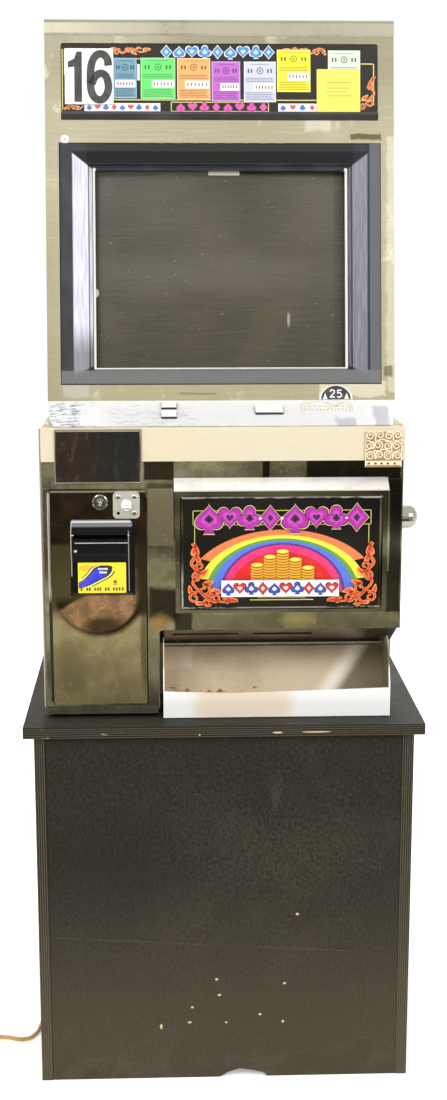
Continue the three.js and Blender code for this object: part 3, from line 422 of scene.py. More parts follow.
wear("button_deck", platedMetal, "deckPlating", (1.0, 1.0, 1.0), 0.34, 0.20, 0.0, 0.00003, 0.30, deckWear)
wear("upper_left_button lower_left_button wide_button", platedMetal, "buttonCaps", (1.0, 1.0, 0.99), 0.3,
     0.06, 1.5, 0.00001, 0.15, shadedCapWalls)
wear("belly_hood", platedMetal, "hoodPlating", (0.95, 0.94, 0.94), 0.30, 0.25, 3.0, 0.00003, 0.7)
wear("main_lock hopper_disc", platedMetal, "lockPlating", (0.42, 0.41, 0.38), 0.08, 0.5, 6.0)
wear("bill_lock", platedMetal, "camPlating", (0.30, 0.29, 0.27), 0.08, 0.5, 6.5)
wear("hasp_plate hasp_plug", platedMetal, "haspPlating", (0.74, 0.72, 0.67), 0.34, 0.30, 8.0, 0.00003, 0.7)


def trayRustAndPaintedLight(made, base):
    # a lip painted bright for light, with a beige cloud; a tan back plate with a lighter corner, a painted
    # highlight along its slanting edge and a painted dark reflection past it; rust along the bend
    lip = made.y.step(-0.238, -0.243)
    cloud = made.patch(-40, 96, 540, 600, 34, 9.0)
    past = made.x * 1.13 - made.z + 0.399  # how far past the slanting edge of the lighter corner
    bend = made.patch(-80, 60, 570, 577, 2, 1.0) * made.noise(60, 3, 61).step(0.55, 0.62) * (1.0 - lip)
    return made.paint(base, [
        (made.patch(-86, -44, 600, 660, 8, 1.5) * 0.5, (0.82, 0.72, 0.58)),
        (past.step(0.004, 0.030) * 0.85, (0.13, 0.105, 0.06)),
        (past.size().step(0.026, 0.0) * 0.75, (0.92, 0.87, 0.78)),
        (lip, made.mix(cloud, (1.0, 1.0, 1.0), (0.90, 0.78, 0.62))),
        (bend, (0.22, 0.09, 0.04)),
    ])


def hingePaintedShade(made, base):
    # painted shade: nearly black below the acceptor
    return made.mix(made.z.step(0.735, 0.715) * 0.93, base, (0.02, 0.018, 0.012))


def satinSteel(name, tone, stain, roughness, grain, rust, metal=1.0, stainsAndPaintedLight=None):
    # brushed sheet with brown stains and rust spots
    made = Finish(name)
    lines = made.noise(90, 3, 1, stretch=grain)
    cloud = made.noise(9, 5, 2, 0.6).step(0.42, 0.70)
    spots = made.noise(70, 3, 4).step(0.68, 0.76) * made.noise(11, 2, 5).step(0.50, 0.62)
    base = made.mix(cloud, tone, stain)
    base = made.paint(base, [
        ((lines - 0.5).step(0.0, 0.3) * 0.35, (0.88, 0.86, 0.80)),
        (spots * rust, rgb(112, 62, 30)),
    ])
    # rust, painted light and painted shade laid on by the caller
    if stainsAndPaintedLight:
        base = stainsAndPaintedLight(made, base)
    return made.surface({
        "Base Color": base,
        "Metallic": metal - spots * rust * metal,
        "Roughness": roughness + cloud * 0.10 + spots * 0.3,
        "Normal": made.bump(lines + spots, 0.00005, 0.6),
    })


wear("coin_tray", satinSteel, "traySteel", (0.62, 0.50, 0.34), (0.44, 0.34, 0.21), 0.34, (1, 25, 25), 0.6,
     0.12, trayRustAndPaintedLight)
# painted shade: the chute plate's brown is darkened for the shade it sits in below the door
wear("coin_chute_plate", satinSteel, "chuteSteel", (0.26, 0.20, 0.15), (0.14, 0.10, 0.07), 0.26,
     (1, 25, 25), 0.5)
wear("bill_door_hinge", satinSteel, "billHingeSteel", (0.75, 0.72, 0.62), (0.5, 0.45, 0.36), 0.3,
     (25, 25, 1), 0.2, 1.0, hingePaintedShade)
wear("main_door_hinge door_strike", satinSteel, "hingeSteel", (0.55, 0.53, 0.46), (0.35, 0.30, 0.24), 0.3,
     (25, 25, 1), 0.4)
wear("back_panel", satinSteel, "backSteel", (0.50, 0.50, 0.48), (0.34, 0.33, 0.31), 0.42, (25, 25, 1), 0.3)
wear("top_trim", satinSteel, "trimSteel", (0.46, 0.44, 0.35), (0.28, 0.27, 0.21), 0.30, (1, 25, 25), 0.3)
wear("trim_band", satinSteel, "bandSteel", (0.93, 0.84, 0.66), (0.88, 0.76, 0.56), 0.38, (1, 40, 40), 0.12,
     0.45)
wear("corner_ornament", satinSteel, "ornamentSteel", (0.56, 0.37, 0.15), (0.36, 0.21, 0.08), 0.34,
     (1, 25, 25), 0.2, 0.5)

say("plastics, glass and wood")


def bezelPaintedLight(made, base):
    # painted light on the slopes: a pale highlight on the left that fades low down, mid grey on the right and
    # the foot, a lighter right border, painted shade on the top slope and a dark line at the right edge,
    # painted bright lines on the inner lip
    x, z = made.x, made.z
    across = x.size()
    inward = 0.2118 - across  # from the slope's outer edge towards the screen
    left, right = x < 0, x > 0
    hold = (1.346 - z - inward * 0.79).step(0.0, 0.0015) * (z - 1.034 - inward * 0.39).step(0.0, 0.0015)
    slope = inward.step(0.0, 0.002) * inward.step(0.0292, 0.0280) * hold
    slope = slope * (1.0 - made.between(inward, 22.6, 24.2, 0.8) * 0.7)
    streaks = made.noise(60, 3, 71, stretch=(6, 1, 0.4))
    low = z.step(1.060, 1.110) * 0.7 + 0.3
    base = made.paint(base, [
        (right * inward.step(0.0, -0.002) * z.step(1.00, 1.03) * 0.85, (0.13, 0.13, 0.155)),
        (slope * left * low, made.mix(streaks.step(0.4, 0.7), (0.72, 0.70, 0.81), (0.52, 0.51, 0.60))),
        (slope * right * 0.9, made.mix(streaks.step(0.4, 0.7), (0.16, 0.16, 0.20), (0.25, 0.25, 0.29))),
        (right * made.between(inward, -1.5, 2.0, 1.2), (0.02, 0.02, 0.03)),
        (z.step(1.0415, 1.0395) * 0.85, (0.17, 0.17, 0.18)),
        (z.step(1.3300, 1.3320) * (across < 0.19), (0.016, 0.016, 0.019)),
    ])
    # painted highlight lines on the inner lip and along its foot
    lip = made.between(across, 178.0, 182.2, 0.6) * made.between(z, 1043, 1324, 2)
    foot = made.between(z, 1040.5, 1044.0, 0.6) * (across < 0.182)
    return made.mix(lip.most(foot) * 0.95, base, (0.93, 0.90, 0.84))


def billBezelLines(made, base):
    # a paler band at the head, thin pale lines at the slot, a dull dark shelf above the label
    z = made.z
    base = made.paint(base, [
        (made.between(z, 772, 790, 1.0), (0.004, 0.004, 0.004)),
        (made.between(z, 830.5, 836.6, 1.4), (0.19, 0.185, 0.19)),
    ])
    lines = made.patches(
        (1, -214, -133, 819.3, 820.9, 0.5), (0.8, -209, -135, 808.4, 809.6, 0.5), (1, -210, -206, 796, 799,
                                                                                   0.8),
        (0.5, -215, -213.4, 760, 837, 0.6), (0.5, -134.4, -133.3, 738, 826, 0.5), (1, -214, -131, 835.4,
                                                                                   837.6, 0.6),
    )
    return made.mix(lines, base, (0.62, 0.62, 0.60))


def mouldedPlastic(name, tone, roughness, grainDepth, dust=0.25, coat=0.0, paintedLightAndMarks=None, shine=0.5):
    # grained moulding with rubbed patches and pale dust
    made = Finish(name)
    grain = made.noise(900, 2, 1)
    rub = made.noise(16, 4, 2).step(0.50, 0.70)
    specks = made.specks(300, 0.22, keep=0.05)
    pale = tuple(min(1.0, v * 2.2 + 0.02) for v in tone)
    base = made.mix((rub * dust).most(specks * dust), tone, pale)
    # painted light and marks laid on by the caller
    if paintedLightAndMarks:
        base = paintedLightAndMarks(made, base)
    return made.surface({
        "Base Color": base,
        "Roughness": roughness - rub * 0.06 + (grain - 0.5) * 0.08,
        "Specular IOR Level": shine,
        "Coat Weight": coat,
        "Coat Roughness": 0.12,
        "Normal": made.bump(grain, grainDepth, 0.5),
    })


wear("monitor_bezel", mouldedPlastic, "bezelPlastic", (0.026, 0.027, 0.036), 0.34, 0.00005, 0.4, 0.0,
     bezelPaintedLight, 0.35)
wear("marquee_ledge", mouldedPlastic, "ledgePlastic", (0.030, 0.028, 0.026), 0.42, 0.00004, 0.6)
wear("bill_bezel", mouldedPlastic, "billBezelBlack", (0.006, 0.006, 0.006), 0.40, 0.00002, 0.10, 0.0,
     billBezelLines, 0.10)
wear("bill_acceptor_head", mouldedPlastic, "bezelBlack", (0.010, 0.010, 0.011), 0.22, 0.00002, 0.15, 0.3)
wear("fan_frame fan_rotor", mouldedPlastic, "fanPlastic", (0.014, 0.014, 0.015), 0.42, 0.00004)
wear("front_foot rear_foot cable_gland", mouldedPlastic, "rubberBlack", (0.018, 0.018, 0.018), 0.75, 0.00008)
wear("power_supply logic_box", mouldedPlastic, "caseGrey", (0.36, 0.37, 0.37), 0.45, 0.00004)
wear("meter_unit bill_cassette hopper_base", mouldedPlastic, "caseDark", (0.10, 0.10, 0.11), 0.5, 0.00004)
wear("hopper_bowl", mouldedPlastic, "bowlWhite", (0.70, 0.70, 0.66), 0.4, 0.00004)
wear("monitor_board", mouldedPlastic, "boardGreen", (0.02, 0.10, 0.04), 0.4, 0.00004)
wear("crt_tube", mouldedPlastic, "tubeGrey", (0.12, 0.12, 0.12), 0.3, 0.00002, 0.2, 0.4)
wear("marquee_lamp belly_lamp", mouldedPlastic, "lampWhite", (0.85, 0.85, 0.83), 0.15, 0.00001, 0.05, 0.8)


def screenMarks(made, base):
    # dusty strip and a paper tab along the top, darker tube edges, a few pale scratches
    lint = made.specks(75, 0.13, keep=0.16).most(made.specks(160, 0.2, keep=0.05))
    scan = made.noise(150, 3, 91, 0.7, stretch=(0.12, 1, 6))
    return made.paint(base, [
        (made.patch(165, 190, 1040, 1330, 6, 1.0) * 0.8, rgb(30, 28, 16)),
        (made.patch(-190, -174, 1040, 1330, 5, 1.0) * 0.7, rgb(34, 32, 20)),
        (made.patch(-178, -18, 1315, 1324, 3, 1.2) * 0.8, rgb(122, 117, 100)),
        (made.blot(-20, 1175, 140, 26, 0.8, 0.05) * 0.45, rgb(92, 88, 76)),
        (lint * 0.5, rgb(140, 136, 120)),
        (scan.step(0.48, 0.66) * 0.35, rgb(90, 84, 62)),
        (scan.step(0.46, 0.34) * 0.35, rgb(34, 31, 20)),
        (made.blot(98, 1110, 2.0, 9, 0.6, 0.25), rgb(150, 146, 132)),
        (made.blot(-180, 1148, 4.5, 6, 0.2), rgb(235, 232, 220)),
        (made.patch(-17, 28, 1314.5, 1321.5, 0.8), rgb(252, 244, 226)),
    ])


def meterMarks(made, base):
    # brown haze on the left, blue haze on the right, rubbed streaks
    x = made.x
    streak = made.noise(70, 4, 81, 0.7, stretch=(1, 1, 0.3)).step(0.50, 0.68)
    return made.paint(base, [
        (x.step(-0.150, -0.215) * 0.8, made.mix(streak, rgb(34, 18, 12), rgb(92, 60, 44))),
        (x.step(-0.195, -0.145) * 0.7, made.mix(streak, rgb(10, 13, 16), rgb(44, 52, 58))),
    ])


def darkGlass(name, tone, dustTone, roughness, dust, marks=None):
    # dark glass under a film of dust, with specks
    made = Finish(name)
    film = made.noise(6, 4, 1).step(0.35, 0.75)
    weave = made.noise(240, 2, 2)
    specks = made.specks(150, 0.16, keep=0.10)
    grime = (film * dust + (weave - 0.5) * 0.25 * dust).most(specks)
    base = made.mix(grime, tone, dustTone)
    if marks:
        base = marks(made, base)
    return made.surface({
        "Base Color": base,
        "Roughness": roughness + film * 0.10 + specks * 0.3,
        "Specular IOR Level": 0.5,
        "Coat Weight": 0.5,
        "Coat Roughness": 0.12,
        "Normal": made.bump(weave, 0.00001, 0.3),
    })


wear("monitor_glass", darkGlass, "screenGlass", rgb(48, 43, 30), rgb(84, 78, 60), 0.30, 0.7, screenMarks)
wear("meter_window", darkGlass, "meterGlass", rgb(16, 12, 12), rgb(48, 42, 44), 0.10, 0.35, meterMarks)
wear("marquee_glass belly_glass", darkGlass, "printGround", rgb(8, 6, 8), rgb(40, 34, 34), 0.06, 0.15)

woodValues = {
    "paint": rgb(34, 31, 21),
    "rubbed": rgb(58, 52, 38),
    "bare": rgb(206, 184, 142),
    "roughness": 0.55,
}


def paintedPly(name, grain, edgeAxis=None, ply=0.016, edgeStart=0.0, spots=()):
    # black paint on plywood; on an edge the veneers show as bands across edgeAxis
    made = Finish(name)
    fibre = made.noise(26, 5, 1, 0.6, stretch=grain)
    cloud = made.noise(4.5, 5, 2, 0.62)
    rub = cloud.step(0.47, 0.70)
    drip = made.noise(30, 4, 3, 0.7, stretch=(1, 1, 0.35)).step(0.58, 0.74)
    drip = drip * made.noise(3, 2, 9).step(0.45, 0.6)
    flecks = made.specks(120, 0.16, keep=0.07)
    low = made.z.step(0.075, 0.0) * made.noise(28, 4, 6).step(0.42, 0.62)
    base = made.mix(rub * 0.6, woodValues["paint"], woodValues["rubbed"])
    base = made.paint(base, [
        (fibre.step(0.55, 0.75) * 0.5, rgb(28, 26, 22)),
        ((drip * 0.35).most(low * 0.5), rgb(78, 74, 64)),
        (flecks * 0.3, rgb(110, 102, 84)),
    ])
    speckle = made.noise(250, 3, 15, 0.7, stretch=(1, 1, 0.7))
    base = made.paint(base, [
        (speckle.step(0.52, 0.66) * 0.55, rgb(66, 60, 46)),
        (speckle.step(0.48, 0.38) * 0.7, rgb(14, 13, 6)),
    ])
    chips = made.noise(38, 4, 8, 0.65, stretch=grain).step(0.66, 0.70) * made.noise(7, 1, 12).step(0.52, 0.60)
    base = made.paint(base, [
        (made.blot(-150, 335, 110, 70, 0.8, 0.2) * 0.5, rgb(24, 22, 14)),
        (made.blot(60, 360, 130, 50, 0.8, 0.3) * speckle.step(0.48, 0.62) * 0.5, rgb(62, 58, 46)),
    ])
    fade = made.z.step(0.36, 0.05)
    base = made.mix(fade * 0.45, base, rgb(84, 74, 54))
    seam = ((made.z + made.x * 0.065) - 0.2105).size().step(0.0012, 0.0)
    base = made.paint(base, [
        (seam * 0.3 * made.noise(9, 2).step(0.40, 0.55), rgb(96, 90, 76)),
        # painted shade: from 0.515 m up, the top board is darkened for the machine's shadow on it
        (made.z.step(0.515, 0.530) * 0.55, rgb(10, 9, 4)),
    ])
    if spots:
        for x, z, across, up in spots:
            base = made.mix(made.blot(x, z, across, up, 0.2, 0.1), base, woodValues["bare"])
    if edgeAxis:
        depth = (made.axis(edgeAxis) - edgeStart) / ply
        veneer = (depth * 31.4).sine().step(0.1, 0.8)
        base = made.mix(veneer * 0.65, base, rgb(100, 92, 72))
        base = made.mix(chips, base, woodValues["bare"])
    rough = woodValues["roughness"] + (fibre - 0.5) * 0.25 + drip * 0.2 - rub * 0.06
    height = fibre * 0.6 + drip * 0.4 + flecks * 0.3
    return made.surface({
        "Base Color": base,
        "Roughness": rough,
        "Specular IOR Level": 0.22,
        "Normal": made.bump(height, 0.0006, 0.35),
    })


panelSpots = [  # x, z, half width, half height, in millimetres
    (106, 258, 2.2, 1.7), (-12, 157, 2.2, 1.8), (88, 149, 2.4, 1.6), (-8, 132, 2.6, 1.6), (-48, 113, 2.0,
                                                                                           1.6),
    (-52, 89, 3.0, 1.6), (-94, 83, 1.8, 4.0), (2, 88, 1.8, 1.4), (86, 88, 1.8, 2.2), (52, 100, 2.2, 1.6),
]
edgeSpots = [(75, 537.6, 6.5, 1.3), (130, 538.0, 20, 1.1), (-36, 535.5, 1.4, 1.4)]
wear("stand_front_panel", paintedPly, "panelPaint", (9, 9, 1), spots=panelSpots)
wear("stand_back_panel", paintedPly, "backPaint", (9, 9, 1))
wear("stand_left_side", paintedPly, "leftSidePaint", (9, 1, 1), "X", 0.016, -0.271)
wear("stand_right_side", paintedPly, "rightSidePaint", (9, 1, 1), "X", 0.016, 0.255)
wear("stand_top_board stand_bottom_board", paintedPly, "boardPaint", (1, 9, 9), "Z", 0.016, 0.532, edgeSpots)

say("mains lead")
leadValues = {
    "diameter": 0.006,
    "tone": (206, 164, 100),
    "dirt": (158, 116, 62),
    "route": [
        (-150, 270, 600), (-150, 279, 599), (-150, 289, 594), (-150, 297, 584), (-150.5, 300.5, 568),
        (-152, 301, 500), (-156, 300, 400), (-158, 299.5, 300), (-157, 300, 200), (-156, 300.5, 110),
        (-158, 301, 62), (-164, 302, 34), (-178, 304, 13), (-198, 305.5, 4.6), (-222, 305.5, 3.4),
        (-248, 303, 3.4), (-271, 293, 3.4), (-285, 273, 3.4), (-288, 246, 3.4), (-285, 152, 3.4),
        (-283, 72, 3.4), (-283, -8, 3.4), (-284, -78, 3.4), (-285, -120, 3.4), (-289, -146, 3.4),
        (-300, -165, 3.4), (-317, -168, 3.4), (-333, -162, 3.4), (-350, -159.5, 3.4), (-368, -160, 3.4),
        (-384.3, -160, 3.4),
    ],
    "coilCentre": (-408, -202),
    "outerTurn": 42,
    "innerTurn": 30,
    "upperHeight": 9.5,
    "plug": (-450, -234, 10.6),
}


def throughPoints(points, perSpan):
    # Catmull-Rom line: each span is a cubic through its two ends, steered by their neighbours
    p = np.array(points, float)
    p = np.vstack([2 * p[0] - p[1], p, 2 * p[-1] - p[-2]])
    t = (np.arange(perSpan) / perSpan)[None, :, None]
    a, b, c, d = (p[i:len(p) - 3 + i][:, None, :] for i in range(4))
    line = 0.5 * (2 * b + (c - a) * t + (2 * a - 5 * b + 4 * c - d) * t**2 + (3 * b - a - 3 * c + d) * t**3)
    return np.vstack([line.reshape(-1, 3), p[-2]])


def coilLine():
    # turns in towards the centre on the floor, a climb, and turns out again on top
    v = leadValues
    turn = np.linspace(0, 4.25, 180)[1:]
    low, high = 3.4, v["upperHeight"]
    outer, inner = v["outerTurn"], v["innerTurn"]
    radius = np.interp(turn, [0, 1.95, 2.25, 4.25], [outer, inner, inner, outer])
    height = np.interp(turn, [0, 1.9, 2.3, 4.25], [low, low, high, high])
    angle = math.pi / 2 + turn * 2 * math.pi
    x = v["coilCentre"][0] + radius * np.cos(angle)
    y = v["coilCentre"][1] + radius * np.sin(angle)
    return np.column_stack([x, y, height])


def makeLead():
    v = leadValues
    coil = coilLine()
    tail = np.array([[v["plug"][0], coil[-1][1] - 12, 9.7], [v["plug"][0], v["plug"][1] + 2, v["plug"][2]]])
    line = np.vstack([throughPoints(v["route"], 6), coil, tail]) * mm
    curve = bpy.data.curves.new("mains_lead", "CURVE")
    curve.dimensions = "3D"
    curve.bevel_depth = v["diameter"] / 2
    curve.bevel_resolution = 3
    spline = curve.splines.new("POLY")
    spline.points.add(len(line) - 1)
    spline.points.foreach_set("co", np.column_stack([line, np.ones(len(line))]).ravel())
    lead = bpy.data.objects.new("mains_lead", curve)
    bpy.context.scene.collection.objects.link(lead)
    length = float(np.linalg.norm(np.diff(line, axis=0), axis=1).sum())
    return lead, length


def jacket():
    made = Finish("leadJacket")
    dirt = made.noise(60, 4, 1).step(0.45, 0.7)
    return made.surface({
        "Base Color": made.mix(dirt, rgb(*leadValues["tone"]), rgb(*leadValues["dirt"])),
        "Roughness": 0.45 + dirt * 0.2,
        "Normal": made.bump(made.noise(500, 2), 0.0001, 0.4),
    })


lead, leadLength = makeLead()
lead.data.materials.append(wear("mains_plug", jacket))
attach(lead, "cabinet")
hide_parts("mains_cord", "cord_coil")
print("lead length", round(leadLength, 3))

say("flat prints")


class Plane:
    # a flat place on the machine: x across, up its face, out of it; given in millimetres

    def __init__(self, y, z, lean):
        self.origin = np.array([0, y, z], float)
        turn = math.radians(lean)
        self.axes = np.array([
            [1, 0, 0],
            [0, math.sin(turn), math.cos(turn)],
            [0, -math.cos(turn), math.sin(turn)],
        ])

    def at(self, points, out=0.0):
        # two columns x, up (or three with out) as points of the machine, in metres
        p = np.atleast_2d(np.asarray(points, float))
        if p.shape[1] == 2:
            p = np.column_stack([p, np.full(len(p), float(out))])
        return (self.origin + p @ self.axes) * mm


front = Plane(-238, 0, 0)
face = Plane(-172.5, 998, 9.9)
deck = Plane(-238, 968, 65.4)


def bar(x0, x1, y0, y1):
    # the four corners of an upright rectangle
    return np.array([(x0, y0), (x1, y0), (x1, y1), (x0, y1)], float)


def oval(x, y, across, up, start=0, end=360, count=32):
    # centre plus across times cosine and up times sine, all round or between two angles
    turn = np.radians(np.linspace(start, end, count, endpoint=end - start < 360))
    return np.column_stack([x + across * np.cos(turn), y + up * np.sin(turn)])


def arch(x, y, outer, inner, start, end, count=40):
    # the band between two ellipses: the outer one forwards, then the inner one back
    turn = np.radians(np.linspace(start, end, count))
    ring = np.column_stack([np.cos(turn), np.sin(turn)])
    return np.vstack([ring * outer, (ring * inner)[::-1]]) + (x, y)


def stroke(points, width, taper=1.0):
    # a line thickened to both sides, across its own direction; taper is the end width over the start width
    p = np.asarray(points, float)
    along = np.gradient(p, axis=0)
    side = np.column_stack([-along[:, 1], along[:, 0]]) / np.linalg.norm(along, axis=1)[:, None]
    half = (np.linspace(1, taper, len(p)) * width / 2)[:, None]
    return np.vstack([p + side * half, (p - side * half)[::-1]])


def smoothLine(points, perSpan=8):
    # a rounded line through flat points
    return throughPoints(np.column_stack([points, np.zeros(len(points))]), perSpan)[:, :2]


def spiral(x, y, first, last, start, end, count=36):
    # radius runs evenly from first to last while the angle runs from start to end
    turn = np.radians(np.linspace(start, end, count))
    radius = np.linspace(first, last, count)
    return np.column_stack([x + radius * np.cos(turn), y + radius * np.sin(turn)])


def heart(x, y, size):
    # the heart curve: 16 sin cubed across; 13, -5, -2, -1 parts of the first four cosines up
    t = np.linspace(0, 2 * np.pi, 40, endpoint=False)
    across = 16 * np.sin(t) ** 3
    up = 13 * np.cos(t) - 5 * np.cos(2 * t) - 2 * np.cos(3 * t) - np.cos(4 * t)
    return [np.column_stack([x + across * size / 34, y + (up + 2.5) * size / 34])]


def diamond(x, y, size):
    # four points joined by sides that bow inwards
    t = np.linspace(0, 2 * np.pi, 40, endpoint=False)
    reach = 0.5 * size / (np.abs(np.cos(t)) + np.abs(np.sin(t))) ** 1.12
    return [np.column_stack([x + reach * np.cos(t) * 0.84, y + reach * np.sin(t)])]


def foot(x, y, size):
    # a stem that narrows upwards to a fifth of its width
    return stroke([(x, y - size * 0.5), (x, y - size * 0.3), (x, y)], size * 0.34, 0.2)


def spade(x, y, size):
    # a heart upside down on a foot
    body = heart(x, y - size * 0.04, size * 0.94)[0]
    body[:, 1] = 2 * y - body[:, 1]
    return [body, foot(x, y, size)]


def club(x, y, size):
    # three discs on a foot
    r = size * 0.235
    return [
        oval(x, y + size * 0.25, r, r, count=20),
        oval(x - size * 0.245, y - size * 0.08, r, r, count=20),
        oval(x + size * 0.245, y - size * 0.08, r, r, count=20),
        foot(x, y + size * 0.1, size * 1.1),
    ]


suits = {"s": spade, "h": heart, "d": diamond, "c": club}


def one(x, y, wide, high):
    # corners as shares of the digit's width and height
    shape = [(0.42, 0), (0.86, 0), (0.86, 1), (0.55, 1), (0.42, 0.86), (0.06, 0.80), (0.06, 0.68),
             (0.42, 0.70)]
    return [np.array(shape) * (wide, high) + (x, y)]


def six(x, y, wide, high):
    # a thick smooth line through points given as shares of the width and height
    line = [(0.84, 0.72), (0.80, 0.86), (0.62, 0.95), (0.38, 0.92), (0.22, 0.76), (0.17, 0.5), (0.20, 0.22),
            (0.36, 0.07), (0.60, 0.05), (0.78, 0.16), (0.84, 0.32), (0.76, 0.50), (0.56, 0.57), (0.34, 0.50),
            (0.22, 0.36)]
    return [stroke(smoothLine(line) * (wide, high) + (x, y), wide * 0.29)]


def two(x, y, wide, high):
    # a smooth neck like the six's, on a straight foot
    line = [(0.12, 0.74), (0.26, 0.92), (0.55, 0.96), (0.80, 0.80), (0.74, 0.56), (0.40, 0.30), (0.14, 0.08)]
    return [stroke(smoothLine(line) * (wide, high) + (x, y), wide * 0.2),
            bar(x + wide * 0.08, x + wide * 0.9, y, y + high * 0.15)]


def five(x, y, wide, high):
    # a smooth bowl like the six's, with a stem and a flag of straight bars
    line = [(0.22, 0.55), (0.50, 0.62), (0.80, 0.46), (0.80, 0.20), (0.50, 0.05), (0.12, 0.14)]
    return [
        stroke(smoothLine(line) * (wide, high) + (x, y), wide * 0.2),
        bar(x + wide * 0.14, x + wide * 0.86, y + high * 0.85, y + high),
        bar(x + wide * 0.14, x + wide * 0.32, y + high * 0.5, y + high),
    ]


class Print:
    # inks laid on a plane in the order they come, each a hair above the one before

    def __init__(self, name, plane, out, lift=0.04):
        self.name = name
        self.plane = plane
        self.out = out
        self.lift = lift
        self.outlines = []

    def ink(self, colour, *outlines):
        self.out += self.lift
        for line in outlines:
            x, y = line[:, 0], line[:, 1]
            area = np.sum(x * np.roll(y, -1) - y * np.roll(x, -1))
            self.outlines.append((line if area > 0 else line[::-1], self.out, rgb(*colour)))

    def bars(self, colour, boxes):
        self.ink(colour, *[bar(*box) for box in boxes])

    def framed(self, edge, fill, x0, x1, y0, y1, rim):
        self.ink(edge, bar(x0, x1, y0, y1))
        self.ink(fill, bar(x0 + rim, x1 - rim, y0 + rim, y1 - rim))

    def suitRow(self, names, xs, y, sizes, rims):
        # suits with nested outlines: rims is a list of (colour, how much larger than the suit)
        for colour, grow in rims:
            row = zip(names, xs, np.broadcast_to(sizes, len(names)))
            self.ink(colour, *[s for name, x, size in row for s in suits[name](x, y, size * grow)])

    def pipRow(self, names, x0, x1, y, size, tones, under=(), over=()):
        # suits evenly spaced from x0 to x1, their colours taking turns
        places = np.linspace(x0, x1, len(names))
        for first, tone in enumerate(tones):
            turns = slice(first, None, len(tones))
            self.suitRow(names[turns], places[turns], y, size, [*under, (tone, 1.0), *over])

    def lay(self, body, finish):
        corners = [self.plane.at(line, out) for line, out, colour in self.outlines]
        counts = [len(c) for c in corners]
        starts = np.concatenate([[0], np.cumsum(counts)[:-1]])
        mesh = bpy.data.meshes.new(self.name)
        mesh.from_pydata(np.vstack(corners), [], [tuple(range(s, s + n)) for s, n in zip(starts, counts)])
        inks = mesh.attributes.new("ink", "FLOAT_COLOR", "CORNER")
        tones = np.repeat([(*colour, 1) for line, out, colour in self.outlines], counts, axis=0)
        inks.data.foreach_set("color", tones.astype(np.float32).ravel())
        return addPiece(self.name, mesh, finish, body, thick=self.lift)


def addPiece(name, mesh, finish, body, thick=0.0):
    # puts a finished mesh in the scene; thick, in millimetres, gives a sheet its wall behind it
    piece = bpy.data.objects.new(name, mesh)
    bpy.context.scene.collection.objects.link(piece)
    mesh.materials.append(finish)
    if thick:
        wall = piece.modifiers.new("wall", "SOLIDIFY")
        wall.thickness = thick * mm
        wall.offset = -1
    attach(piece, body)
    return piece


def printedInk(name, roughness, coat, fade):
    # coloured ink from the piece's own attribute, slightly uneven, under a clear coat
    made = Finish(name)
    ink = made.node("ShaderNodeAttribute", {"attribute_name": "ink"}, {}, "Color")
    uneven = made.noise(120, 3, 1).step(0.35, 0.75)
    dust = made.specks(420, 0.2, keep=0.06)
    base = made.mix(uneven * fade, ink, (0.55, 0.52, 0.46))
    base = made.mix(dust * 0.5, base, (0.75, 0.73, 0.68))
    return made.surface({
        "Base Color": base,
        "Roughness": roughness + uneven * 0.08,
        "Coat Weight": coat,
        "Coat Roughness": 0.05,
    })


paperInk = printedInk("paperInk", 0.45, 0.15, 0.10)
glassInk = printedInk("glassInk", 0.35, 0.7, 0.05)

orangeInk, redInk = (238, 142, 78), (222, 62, 30)
darkInk, blackInk = (34, 36, 38), (24, 24, 30)
chalkInk = (240, 240, 236)


def flourish(sheet, scroll, wide, tones=(orangeInk, redInk), mirror=None):
    # a bending stem with curls (x, y, radius, start angle, turn) and leaves (x, y, long, wide, angle)
    stem = smoothLine(scroll["stem"])
    shapes, cores = [stroke(stem, wide, 0.5)], [stroke(stem, wide * 0.45, 0.5)]
    for x, y, radius, start, turn in scroll["curls"]:
        curl = spiral(x, y, radius, radius * 0.25, start, start + turn)
        shapes.append(stroke(curl, wide * 0.8, 0.6))
        cores.append(stroke(curl, wide * 0.35, 0.6))
    for x, y, long, broad, angle in scroll["leaves"]:
        a = math.radians(angle)
        spin = np.array([[math.cos(a), math.sin(a)], [-math.sin(a), math.cos(a)]])
        leaf = oval(0, 0, long, broad, count=20)
        leaf[:, 1] *= 1 - 0.5 * leaf[:, 0] / long
        shapes.append(leaf @ spin + (x, y))
        cores.append(leaf * 0.55 @ spin + (x, y))
    for tone, group in zip(tones, (shapes, cores)):
        sheet.ink(tone, *group)
        if mirror is not None:
            sheet.ink(tone, *[np.column_stack([2 * mirror - g[:, 0], g[:, 1]]) for g in group])


def turnedOver(scroll, middle):
    # the same scroll seen in a mirror that stands at x = middle
    return {
        "stem": [(2 * middle - x, y) for x, y in scroll["stem"]],
        "curls": [(2 * middle - x, y, r, 180 - a, -t) for x, y, r, a, t in scroll["curls"]],
        "leaves": [(2 * middle - x, y, a, b, 180 - c) for x, y, a, b, c in scroll["leaves"]],
    }


